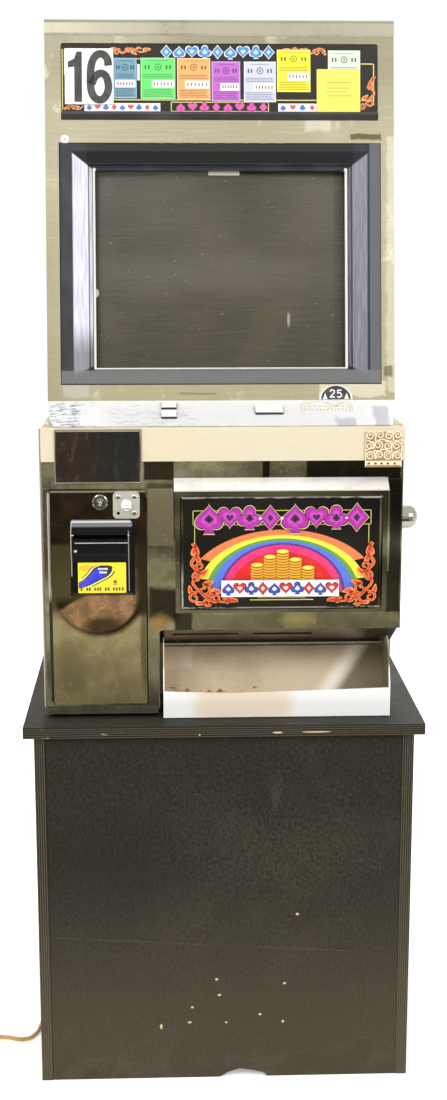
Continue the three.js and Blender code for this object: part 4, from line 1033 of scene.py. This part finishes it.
# Belly panel: suits, a band of colours over coin stacks, scrolls in the corners.
bellyValues = {
    "out": 14.02,  # in front of the door; lengths in millimetres
    "middle": 83,
    "ruleTone": (222, 214, 110),
    "rules": [  # left, right, foot, head
        (-44, 208, 850.8, 851.9), (-44, 208, 830.6, 831.7), (-44, -42.9, 830.6, 851.9),
        (206.9, 208, 830.6, 851.9), (-41.8, -40.8, 804, 831), (204.2, 205.2, 804, 831),
    ],
    "footRules": [(37, 127, 721.9, 723.2), (48, 116, 725.2, 726.0)],
    "archFoot": 733,
    "bands": [  # colour, half width, height, first angle
        ((240, 128, 72), 138.7, 90.9, 33),
        ((250, 236, 60), 121.5, 83.5, 14.5),
        ((96, 160, 74), 108.7, 78.3, 6.5),
        ((88, 120, 226), 100.8, 75.1, 2),
        ((96, 44, 140), 88.7, 71.9, 0),
        ((236, 48, 120), 85.1, 68.9, 0),
        ((226, 26, 30), 75.1, 58.7, 0),
    ],
    "firstHole": (118.0, 83.0),  # inner half width and height of the first band
    "stacks": [(47, 6), (65, 9), (83, 11), (101, 8), (119, 5)],  # place, coins
    "coinFoot": 753,
    "coinStep": 3.9,
    "scroll": {
        "stem": [(-44, 806), (-37, 792), (-46, 777), (-36, 763), (-44, 749), (-34, 736), (-24, 727),
                 (-4, 721), (20, 722)],
        "curls": [(-38, 757, 8, 40, 400), (-28, 738, 9, 100, -420), (-42, 727, 8, 60, 420),
                  (-12, 727, 7, 200, 400), (-24, 721, 6, -30, -380), (4, 722, 5, 160, -360),
                  (-34, 772, 6, 210, -340)],
        "leaves": [(-42, 796, 9, 3.6, 74), (-37, 784, 8, 3.4, 110), (-28, 764, 8, 3.6, 40),
                   (-22, 748, 9, 4, 20), (-10, 736, 9, 4, -10), (-48, 739, 7, 3.2, 100), (12, 724, 8, 3, 0),
                   (-33, 719, 8, 3, 0), (-18, 731, 8, 4, 30)],
    },
    "strip": (-4.4, 163.6, 727.4, 752.4),
    "pips": ("shcdshcdsh", 6, 153, 740, 17.5),  # suits, first and last place, height, size
    "pipTones": ((40, 74, 190), (214, 34, 44)),
    "title": ("shcdshcd", [-21, 8, 36, 65, 100, 130, 158, 187], 841.5, [41, 33, 33, 33, 41, 33, 33, 37]),
    "titleRims": [
        ((236, 206, 150), 1.15), ((92, 22, 90), 1.08), ((176, 34, 160), 1.0), ((206, 66, 190), 0.62),
        ((60, 14, 70), 0.34),
    ],
    "dots": [(51, 2.2), (81.5, 2.2), (172.5, 1.8)],  # place, radius
}


def bellyPrint():
    v = bellyValues
    sheet = Print("belly_print", front, v["out"])
    sheet.bars(v["ruleTone"], v["rules"])
    sheet.bars(v["ruleTone"], v["footRules"])
    bands = v["bands"]
    holes = [v["firstHole"], *[(across - 0.4, up - 0.4) for _, across, up, _ in bands[2:]], (1.0, 1.0)]
    for (colour, across, up, start), hole in zip(bands, holes):
        sheet.ink(colour, arch(v["middle"], v["archFoot"], (across, up), hole, start, 180 - start, 48))
    for place, coins in v["stacks"]:
        for i in range(coins):
            rise = v["coinFoot"] + i * v["coinStep"]
            sheet.ink((150, 84, 20), oval(place, rise, 9.4, 3.9, count=22))
            sheet.ink((246, 178, 34), oval(place, rise + 0.9, 9.0, 3.3, count=22))
        rise = v["coinFoot"] + coins * v["coinStep"] - 2.7
        sheet.ink((255, 240, 96), oval(place, rise, 7.2, 2.3, count=22))
    flourish(sheet, v["scroll"], 5.4, mirror=v["middle"])
    sheet.framed((60, 20, 30), (246, 244, 240), *v["strip"], 0.5)
    sheet.pipRow(*v["pips"], v["pipTones"], [((26, 16, 40), 1.14)], [((250, 240, 240), 0.42)])
    sheet.suitRow(*v["title"], v["titleRims"])
    sheet.ink(chalkInk, *[oval(x, 841, r, r, count=14) for x, r in v["dots"]])
    sheet.lay("front_door", glassInk)


bellyPrint()

# Marquee: permit cards stuck over the printed glass.
marqueeValues = {
    "out": -2.28,
    "ruleTone": (234, 220, 130),
    "rules": [
        (199, 221, 478.8, 480.2), (219.6, 221, 421, 480.2), (-151, 221, 427.0, 428.4),
        (-224.6, -223.4, 414, 499), (-160, -100, 485, 486.2),
    ],
    "boxRules": [(-70, 70, 424, 425.2), (-70, 70, 411, 412.2), (-70, -68.8, 411, 425), (68.8, 70, 411, 425)],
    "title": ("dshcdshcd", -76, 70, 495.6, 17.5),  # suits, first and last place, height, size
    "titleRims": [((236, 240, 246), 1.18), ((58, 132, 214), 1.0), ((190, 222, 246), 0.45)],
    "name": ("shcdshcd", -56, 62, 417.6, 13.5),
    "nameRims": [((120, 20, 90), 1.15), ((232, 78, 176), 1.0)],
    "strips": [(-193, -85, "shcdshcds"), (83.3, 139, "shcd")],
    "stripTones": ((70, 120, 210), (220, 70, 80)),
    "topScroll": {
        "stem": [(-160, 492), (-150, 500), (-138, 494), (-126, 500), (-112, 495), (-98, 499)],
        "curls": [(-146, 495, 5, 30, 330), (-130, 497, 4.5, 200, -330), (-116, 498, 4, 20, 300)],
        "leaves": [(-104, 499, 6, 2.4, 10), (-122, 494, 5, 2.2, -30), (-154, 499, 6, 2.4, 30)],
    },
    "sideScroll": {
        "stem": [(222, 462), (214, 450), (221, 438), (212, 428), (206, 418), (196, 414)],
        "curls": [(215, 446, 5, 0, 330), (214, 424, 6, 90, -400), (204, 420, 5, 200, 380)],
        "leaves": [(219, 456, 6, 2.4, 70), (208, 432, 6, 2.6, 40), (198, 417, 6, 2.4, 0)],
    },
    "footScroll": {
        "stem": [(-222, 414), (-212, 419), (-202, 414), (-194, 419)],
        "curls": [(-214, 416, 4, 0, 300)],
        "leaves": [(-205, 417, 6, 2.4, 10)],
    },
    "chips": [(-221.5, -219, 462, 499), (-117.5, -114, 455, 478)],
    "cards": [  # left, right, foot, head, colour, where the number box starts as a share of the width
        (-151.5, -118.6, 429.7, 486.6, (98, 150, 172), 0.08),
        (-112.7, -63.5, 429.0, 487.0, (92, 226, 104), 0.32),
        (-60.8, -13.6, 427.8, 486.6, (244, 172, 98), 0.24),
        (-11.6, 29.1, 425.5, 482.0, (190, 96, 200), 0.30),
        (34.4, 80.0, 424.5, 482.0, (204, 208, 228), 0.30),
        (81.7, 129.5, 439.0, 498.9, (252, 234, 26), 0.30),
        (154.7, 200.8, 439.0, 498.0, (214, 228, 206), 0.30),
    ],
    "note": (138.4, 200.8, 409.8, 471.4),
    "noteLines": [(152, 188, 452), (155, 184, 444), (152, 180, 439), (155, 188, 433)],  # left, right, foot
    "number": (-220.4, -151.5, 420.7, 499.5),
    "digits": (-217.5, -190.5, 424),  # left edges of the two digits, their foot
}


def permitCard(sheet, x0, x1, y0, y1, colour, boxFrom):
    # a coloured permit: rim, rows of fine print, a seal and a white number box
    wide, high = x1 - x0, y1 - y0
    dark = tuple(int(c * 0.62) for c in colour)
    sheet.framed(tuple(int(120 + c * 0.53) for c in colour), colour, x0, x1, y0, y1, 1.1)
    lower, upper = (3.2, 5.6, 8.0, 10.4, 12.8), (high * 0.50, high * 0.54, high * 0.58)
    rows = [(x0 + 3, x1 - 3 - i * 7 % 5, y0 + h, y0 + h + 1.0) for i, h in enumerate(lower)]
    rows += [(x0 + 3, x1 - 3 - i * 5 % 4, y0 + h, y0 + h + 1.0) for i, h in enumerate(upper)]
    sheet.bars(dark, rows + [(x0 + wide * 0.2, x1 - wide * 0.2, y1 - 4.4, y1 - 3.6)])
    middle = (x0 + x1) / 2
    seal = arch(middle, y1 - 13, (5.0, 5.0), (3.4, 3.4), 0, 359.9, 24)
    sheet.ink(dark, seal, oval(middle, y1 - 13, 1.8, 1.8, count=12))
    year = (x0 + wide * 0.12, x0 + wide * 0.22, x1 - wide * 0.27, x1 - wide * 0.17)
    sheet.bars((44, 46, 52), [(x, x + 2.0, y1 - 16, y1 - 10.5) for x in year])
    box = x0 + wide * boxFrom
    sheet.bars((248, 244, 236), [(box, x1 - 1.6, y0 + high * 0.27, y0 + high * 0.46)])
    foot = y0 + high * 0.33
    sheet.bars((120, 60, 52), [(x, x + 1.7, foot, foot + 4.2) for x in np.linspace(box + 3, x1 - 6.5, 6)])


def marqueePrint():
    v = marqueeValues
    sheet = Print("marquee_print", face, v["out"], 0.03)
    sheet.bars(v["ruleTone"], v["rules"])
    sheet.bars(v["ruleTone"], v["boxRules"])
    for key in ("title", "name"):
        kinds, first, last, y, size = v[key]
        sheet.suitRow(kinds, np.linspace(first, last, len(kinds)), y, size, v[key + "Rims"])
    for x0, x1, kinds in v["strips"]:
        sheet.bars((240, 240, 238), [(x0, x1, 411.6, 423)])
        sheet.pipRow(kinds, x0 + 7, x1 - 7, 417.2, 9.0, v["stripTones"])
    pale, rust, ember = (244, 178, 110), (214, 96, 44), (206, 84, 40)
    flourish(sheet, v["topScroll"], 3.6, (pale, rust))
    flourish(sheet, turnedOver(v["topScroll"], -4), 3.6, (pale, rust))
    flourish(sheet, v["sideScroll"], 4.0, ((244, 168, 96), ember))
    flourish(sheet, v["footScroll"], 3.6, (pale, ember))
    sheet.bars((238, 236, 232), v["chips"])
    for card in v["cards"]:
        permitCard(sheet, *card)
    sheet.framed((236, 220, 90), (255, 236, 92), *v["note"], 0.6)
    sheet.bars((226, 148, 60), [(x0, x1, y, y + 1.3) for x0, x1, y in v["noteLines"]])
    sheet.bars((248, 248, 248), [v["number"]])
    left, right, foot = v["digits"]
    sheet.ink(darkInk, *one(left, foot, 25, 71), *six(right, foot, 38, 71))
    sheet.lay("cabinet", paperInk)


marqueePrint()

# Bill label: a blue sweep with pale and dark lines on yellow. Lengths from the label's lower left corner.
labelValues = {
    "left": -205,
    "over": [(0.3, 13), (9.8, 19.5), (18, 27.8), (24.3, 35), (34.6, 38.8)],  # upper edge of the sweep
    "below": [(0.3, 7.6), (14, 12), (30.5, 20.5), (41, 26.5), (46.5, 34)],  # its lower edge
    "tip": [(23, 33), (29, 38.4), (38, 40), (46.5, 38.8), (47.5, 35.5), (43, 28.5), (36, 22.5)],
    "words": [  # places, foot, head
        ((28, 30.8, 33.6, 36.4, 39.2), 33.6, 36.2),
        ((29.5, 32.3, 35.1, 37.9), 28.4, 31.4),
    ],
    "arrow": [(48.5, 15), (54.5, 15), (51.5, 19.5)],
    "arrowBar": (49, 54, 12.2, 13.4),
    "marks": [3, 11, 14.5, 22, 26, 29.5, 37, 41, 48.5, 52.5, 56.5, 61],
}


def labelPrint():
    v = labelValues
    left = v["left"]
    sheet = Print("bill_label_print", Plane(-257.05, 736, -1.94), 1.1, 0.03)
    over, below, tip = (smoothLine(np.array(v[k]) + (left, 0)) for k in ("over", "below", "tip"))

    def inside(shape):
        return np.clip(shape, (left + 0.3, 0.3), (left + 60.8, 40.5))

    def beside(edge, shift, width, taper):
        return stroke(edge + shift, width, taper)

    sheet.ink((250, 190, 40), oval(left + 12, 36, 11, 4.2, count=20))
    sheet.ink(blackInk, inside(tip), inside(beside(over[8:], (-5, 1.6), 1.0, 1.6)),
              beside(below[8:], (4.5, -2.4), 1.2, 1.4))
    sheet.ink((244, 240, 150), inside(beside(over[4:], (-2.6, 1.4), 2.0, 1.2)),
              beside(below[6:], (2.4, -1.4), 1.4, 1.5))
    sheet.ink(blackInk, inside(beside(over, (-0.8, 0.7), 1.4, 1.6)),
              inside(beside(below, (0.4, -0.3), 1.5, 1.8)))
    sheet.ink((34, 50, 214), np.vstack([over, below[::-1]]))
    sheet.ink(blackInk, tip[8:-4])
    words = [(left + x, left + x + 2.0, foot, head) for places, foot, head in v["words"] for x in places]
    sheet.bars((244, 246, 250), words)
    x0, x1, y0, y1 = v["arrowBar"]
    sheet.ink((60, 56, 30), np.array(v["arrow"]) + (left, 0), bar(left + x0, left + x1, y0, y1))
    sheet.bars((52, 50, 40), [(left + x, left + x + 2.2, 3.4, 7.8) for x in v["marks"]])
    sheet.lay("front_door", paperInk)


def facePrints():
    # a half-round badge with the stake in it, at the foot of the face
    sheet = Print("face_prints", face, 0.02, 0.05)
    sheet.ink((236, 236, 230), oval(164, 0.6, 24, 21, 0, 180))
    sheet.ink((38, 38, 40), oval(164, 0.8, 21.5, 19.5, 0, 180))
    sheet.ink((236, 236, 232), *[np.array([(x, 1.2), (x + 7, 1.2), (x + 3.5, 10)]) for x in (145, 176)])
    sheet.ink(chalkInk, *two(154.5, 3.2, 9, 11.5), *five(164.5, 3.2, 9, 11.5))
    sheet.lay("cabinet", paperInk)


labelPrint()
facePrints()


def studs(name, plane, places, body, finish):
    # round heads (x, up, out, radius, height): each profile point turned about its own centre
    profile = np.array([(1, -0.4), (1, 0.45), (0.86, 0.85), (0.55, 1.0)])
    count = 18
    turn = np.linspace(0, 2 * np.pi, count, endpoint=False)
    ring = np.column_stack([np.cos(turn), np.sin(turn)])
    points, faces = [], []
    for x, up, out, radius, height in places:
        start = sum(len(p) for p in points)
        for share, rise in profile:
            level = np.full(count, out + rise * height)
            points.append(np.column_stack([ring * share * radius + (x, up), level]))
        for row in range(len(profile) - 1):
            a = start + row * count
            b = a + count
            faces += [(a + i, a + (i + 1) % count, b + (i + 1) % count, b + i) for i in range(count)]
        last = start + (len(profile) - 1) * count
        faces += [tuple(range(last, last + count)), tuple(range(start + count - 1, start - 1, -1))]
    mesh = bpy.data.meshes.new(name)
    mesh.from_pydata(plane.at(np.vstack(points)), [], faces)
    mesh.polygons.foreach_set("use_smooth", [True] * len(mesh.polygons))
    return addPiece(name, mesh, finish, body)


# Raised scrolls on the corner ornament.
ornamentValues = {
    "tone": (250, 234, 200),
    "curls": [  # x, z, radius, first angle, turn
        (206, 955, 6.5, 0, 560), (219.5, 956, 6.0, 200, -540), (232, 955, 6.0, 20, 540),
        (244, 956, 5.6, 160, -520), (205, 941, 5.8, 100, -540), (217, 942, 6.6, 300, 560),
        (230, 941, 6.4, 120, -560), (243, 941, 6.2, 10, 540), (206, 927, 6.4, 30, 560),
        (219, 928, 5.8, 230, -540), (231, 927, 6.6, 60, 560), (244, 927, 5.8, 200, -560),
    ],
    "stems": [
        [(200, 934), (208, 938), (216, 933), (226, 936), (236, 931), (248, 935)],
        [(201, 949), (210, 946), (222, 950), (234, 947), (249, 949)],
        [(212, 961), (213, 950), (211, 940), (213, 922)],
        [(237, 961), (238, 950), (236, 938), (238, 922)],
    ],
    "ends": [(199, 250, 913.5, 919.5), (198.8, 250.3, 961, 962.3)],
    "sides": [(198.8, 200, 911, 962), (249, 250.3, 911, 962)],
    "holes": (204, 213.5, 222, 231, 240.5),
}


def ornament():
    v = ornamentValues
    scrolls = Print("ornament_scrolls", front, 4.5, 0.45)
    curls = [stroke(spiral(x, y, r, r * 0.22, a, a + t), 1.9, 0.7) for x, y, r, a, t in v["curls"]]
    stems = [stroke(smoothLine(line), 1.6) for line in v["stems"]]
    scrolls.ink(v["tone"], *stems, *[bar(*box) for box in v["ends"]])
    scrolls.ink(v["tone"], *curls, *[bar(*box) for box in v["sides"]])
    scrolls.ink((70, 50, 26), *[oval(x, 916, 1.7, 1.5, count=14) for x in v["holes"]])
    scrolls.lay("front_door", paperInk)


# Screw heads, lock faces, the cap on the face and the crest on the deck.
lockValues = {
    "hasp": (-136.85, 858.85),
    "haspScrews": [(-11.25, 11.35), (11.25, 11.35), (11.25, -11.35)],  # from the hasp's centre
    "screwHead": (7.5, 4.0, 1.2),  # out, radius, height
    "slotOut": 8.74,
    "bossOut": 11.42,
    "cam": (-173.7, 863.2),
    "camOut": 6.66,
    "cap": (-221, 371),
    "capHead": (0.0, 6.5, 1.8),
    "capOut": 1.82,
}


def dash(centre, start, end, width):
    # a straight stroke between two points given from a centre
    return stroke(np.array([start, end]) + centre, width)


def lockFaces():
    v = lockValues
    hasp, cam, cap = v["hasp"], v["cam"], v["cap"]
    heads = platedMetal("screwPlating", (0.80, 0.78, 0.72), 0.16, 0.4, 11)
    screws = [(hasp[0] + x, hasp[1] + y) for x, y in v["haspScrews"]]
    studs("hasp_screws", front, [(*at, *v["screwHead"]) for at in screws], "bill_flap",
          heads)
    slots = Print("hasp_screw_slots", front, v["slotOut"], 0.05)
    cross = [dash(at, (-2.6, -1.6), (2.6, 1.6), 1.1) for at in screws]
    slots.ink((30, 28, 24), *cross, *[dash(at, (-1.6, 2.6), (1.6, -2.6), 1.1) for at in screws])
    slots.lay("bill_flap", paperInk)

    boss = Print("hasp_boss_face", front, v["bossOut"], 0.05)
    boss.ink((250, 250, 246), oval(*hasp, 7.0, 7.0))
    boss.ink((120, 120, 112), dash(hasp, (-1.8, 0.6), (1.8, 0.6), 1.0))
    boss.ink((92, 88, 76), bar(-4.8, 4.8, -5.0, -3.6) + hasp)
    boss.lay("hasp_core", paperInk)

    key = Print("cam_key_face", front, v["camOut"], 0.05)
    key.ink((22, 20, 20), oval(*cam, 5.5, 5.5))
    key.ink((176, 172, 164), *[arch(*cam, (5.2, 5.2), (4.2, 4.2), *turn) for turn in ((20, 160), (230, 300))])
    wards = [dash(cam, (-2.6, 1.4), (-0.4, -1.0), 1.3), dash(cam, (0.8, 2.4), (2.2, -1.8), 1.3)]
    key.ink((236, 234, 228), *wards, bar(-0.7, 0.7, -3.6, -1.8) + cam)
    key.lay("bill_cam", paperInk)

    white = mouldedPlastic("capWhite", (0.88, 0.88, 0.85), 0.35, 0.00002, 0.1)
    studs("screw_cap", face, [(*cap, *v["capHead"])], "cabinet", white)
    dot = Print("screw_cap_mark", face, v["capOut"], 0.05)
    dot.ink((96, 92, 84), oval(*cap, 1.1, 1.1, count=12))
    dot.lay("cabinet", paperInk)


crestValues = {
    "tone": (214, 194, 146),
    "rim": [(113, 40), (113, 55), (117, 64), (130, 67), (146, 67), (156, 60), (162, 56), (168, 62), (176, 66),
            (184, 62), (185, 50), (184, 40)],
    "strokes": 13,
    "curls": 8,
}


def deckCrest():
    v = crestValues
    crest = Print("deck_crest", deck, 0.0, 0.05)
    inner = np.array(v["rim"]) * (0.9, 0.86) + (15, 5)
    crest.ink(v["tone"], stroke(smoothLine(v["rim"]), 1.5), stroke(smoothLine(inner), 1.0))
    marks = [stroke([(118 + i * 5.2, 42 + i % 2), (120 + i * 5.2, 49 - i % 3)], 1.5)
             for i in range(v["strokes"])]
    marks += [stroke(spiral(124 + i * 8, 54.5, 2.8, 1.0, 30 * i, 30 * i + 330), 1.1)
              for i in range(v["curls"])]
    crest.ink(v["tone"], *marks)
    crest.lay("cabinet", paperInk)


ornament()
lockFaces()
deckCrest()

say("floor, world and light")
studioValues = {
    "floorTone": (0.95, 0.95, 0.94),
    "floorGlow": 0.35,
    "backTone": (1.0, 1.0, 1.0),
    "roomDark": (0.05, 0.045, 0.032),
    "roomOlive": (0.46, 0.43, 0.28),
    "roomWarm": (0.95, 0.90, 0.68),
    "roomAbove": (1.0, 0.99, 0.95),
    "fill": 0.75,
    "lights": [  # name, place, aim, size, power
        ("keyLight", (-1.6, -2.6, 2.9), (0, 0, 0.9), (1.4, 1.4), 60),
        ("fillLight", (1.9, -2.4, 2.2), (0, 0, 0.8), (1.6, 1.6), 34),
        ("backLight", (0.4, 2.6, 2.8), (0, 0, 1.0), (2.0, 1.4), 40),
    ],
}


def stageSheet(name, corners, finish, seen=True):
    # one flat sheet of the studio, no part of the machine
    mesh = bpy.data.meshes.new(name)
    mesh.from_pydata(corners, [], [(0, 1, 2, 3)])
    made = bpy.data.objects.new(name, mesh)
    mesh.materials.append(finish)
    bpy.context.scene.collection.objects.link(made)
    made.visible_camera = seen
    return made


def makeFloor():
    made = Finish("floorPaper")
    finish = made.surface({
        "Base Color": studioValues["floorTone"],
        "Roughness": 0.8,
        "Emission Color": studioValues["floorTone"],
        "Emission Strength": studioValues["floorGlow"],
    })
    stageSheet("floor", [(-30, -30, 0), (30, -30, 0), (30, 30, 0), (-30, 30, 0)], finish)
    room = Finish("roomFloor")
    patch = room.noise(0.8, 3, 2).step(0.42, 0.60)
    bright = room.noise(1.3, 2, 4, stretch=(1, 0.5, 1)).step(0.60, 0.70)
    tone = room.mix(patch, studioValues["roomDark"], studioValues["roomOlive"])
    tone = room.mix(bright, tone, studioValues["roomWarm"])
    shader = room.node("ShaderNodeEmission", {}, {"Color": tone})
    room.node("ShaderNodeOutputMaterial", {}, {"Surface": shader})
    stageSheet("roomFloor", [(-7, -9, 0.002), (7, -9, 0.002), (7, -1.3, 0.002), (-7, -1.3, 0.002)],
               room.material, False)


def makeWorld():
    # plain pale to the camera; a darker room with a warm upper half in reflections
    world = bpy.data.worlds.new("studio")
    bpy.context.scene.world = world
    world.use_nodes = True
    sky = Finish.__new__(Finish)
    sky.tree = world.node_tree
    sky.tree.nodes.clear()
    direction = sky.node("ShaderNodeTexCoord", output="Generated")
    up = sky.node("ShaderNodeSeparateXYZ", {}, {"Vector": direction}, "Z")
    v = studioValues
    room = sky.ramp(up * 0.5 + 0.5, [
        (0.40, v["roomDark"]),
        (0.50, v["roomOlive"]),
        (0.58, v["roomWarm"]),
        (0.80, v["roomAbove"]),
    ])
    path = "ShaderNodeLightPath"
    glossy = sky.node(path, output="Is Glossy Ray")
    camera = sky.node(path, output="Is Camera Ray")
    seen = sky.mix(glossy, (v["fill"],) * 3, room)
    seen = sky.mix(camera, seen, v["backTone"])
    shader = sky.node("ShaderNodeBackground", {}, {"Color": seen, "Strength": 1.0})
    sky.node("ShaderNodeOutputWorld", {}, {"Surface": shader})


def softLight(name, place, aim, size, power):
    data = bpy.data.lights.new(name, "AREA")
    data.shape = "RECTANGLE"
    data.size, data.size_y = size
    data.energy = power
    light = bpy.data.objects.new(name, data)
    light.location = place
    light.rotation_euler = (Vector(aim) - Vector(place)).to_track_quat("-Z", "Y").to_euler()
    bpy.context.scene.collection.objects.link(light)


makeFloor()
makeWorld()
bpy.context.scene.view_settings.view_transform = "Standard"
for light in studioValues["lights"]:
    softLight(*light)

say("sizes")
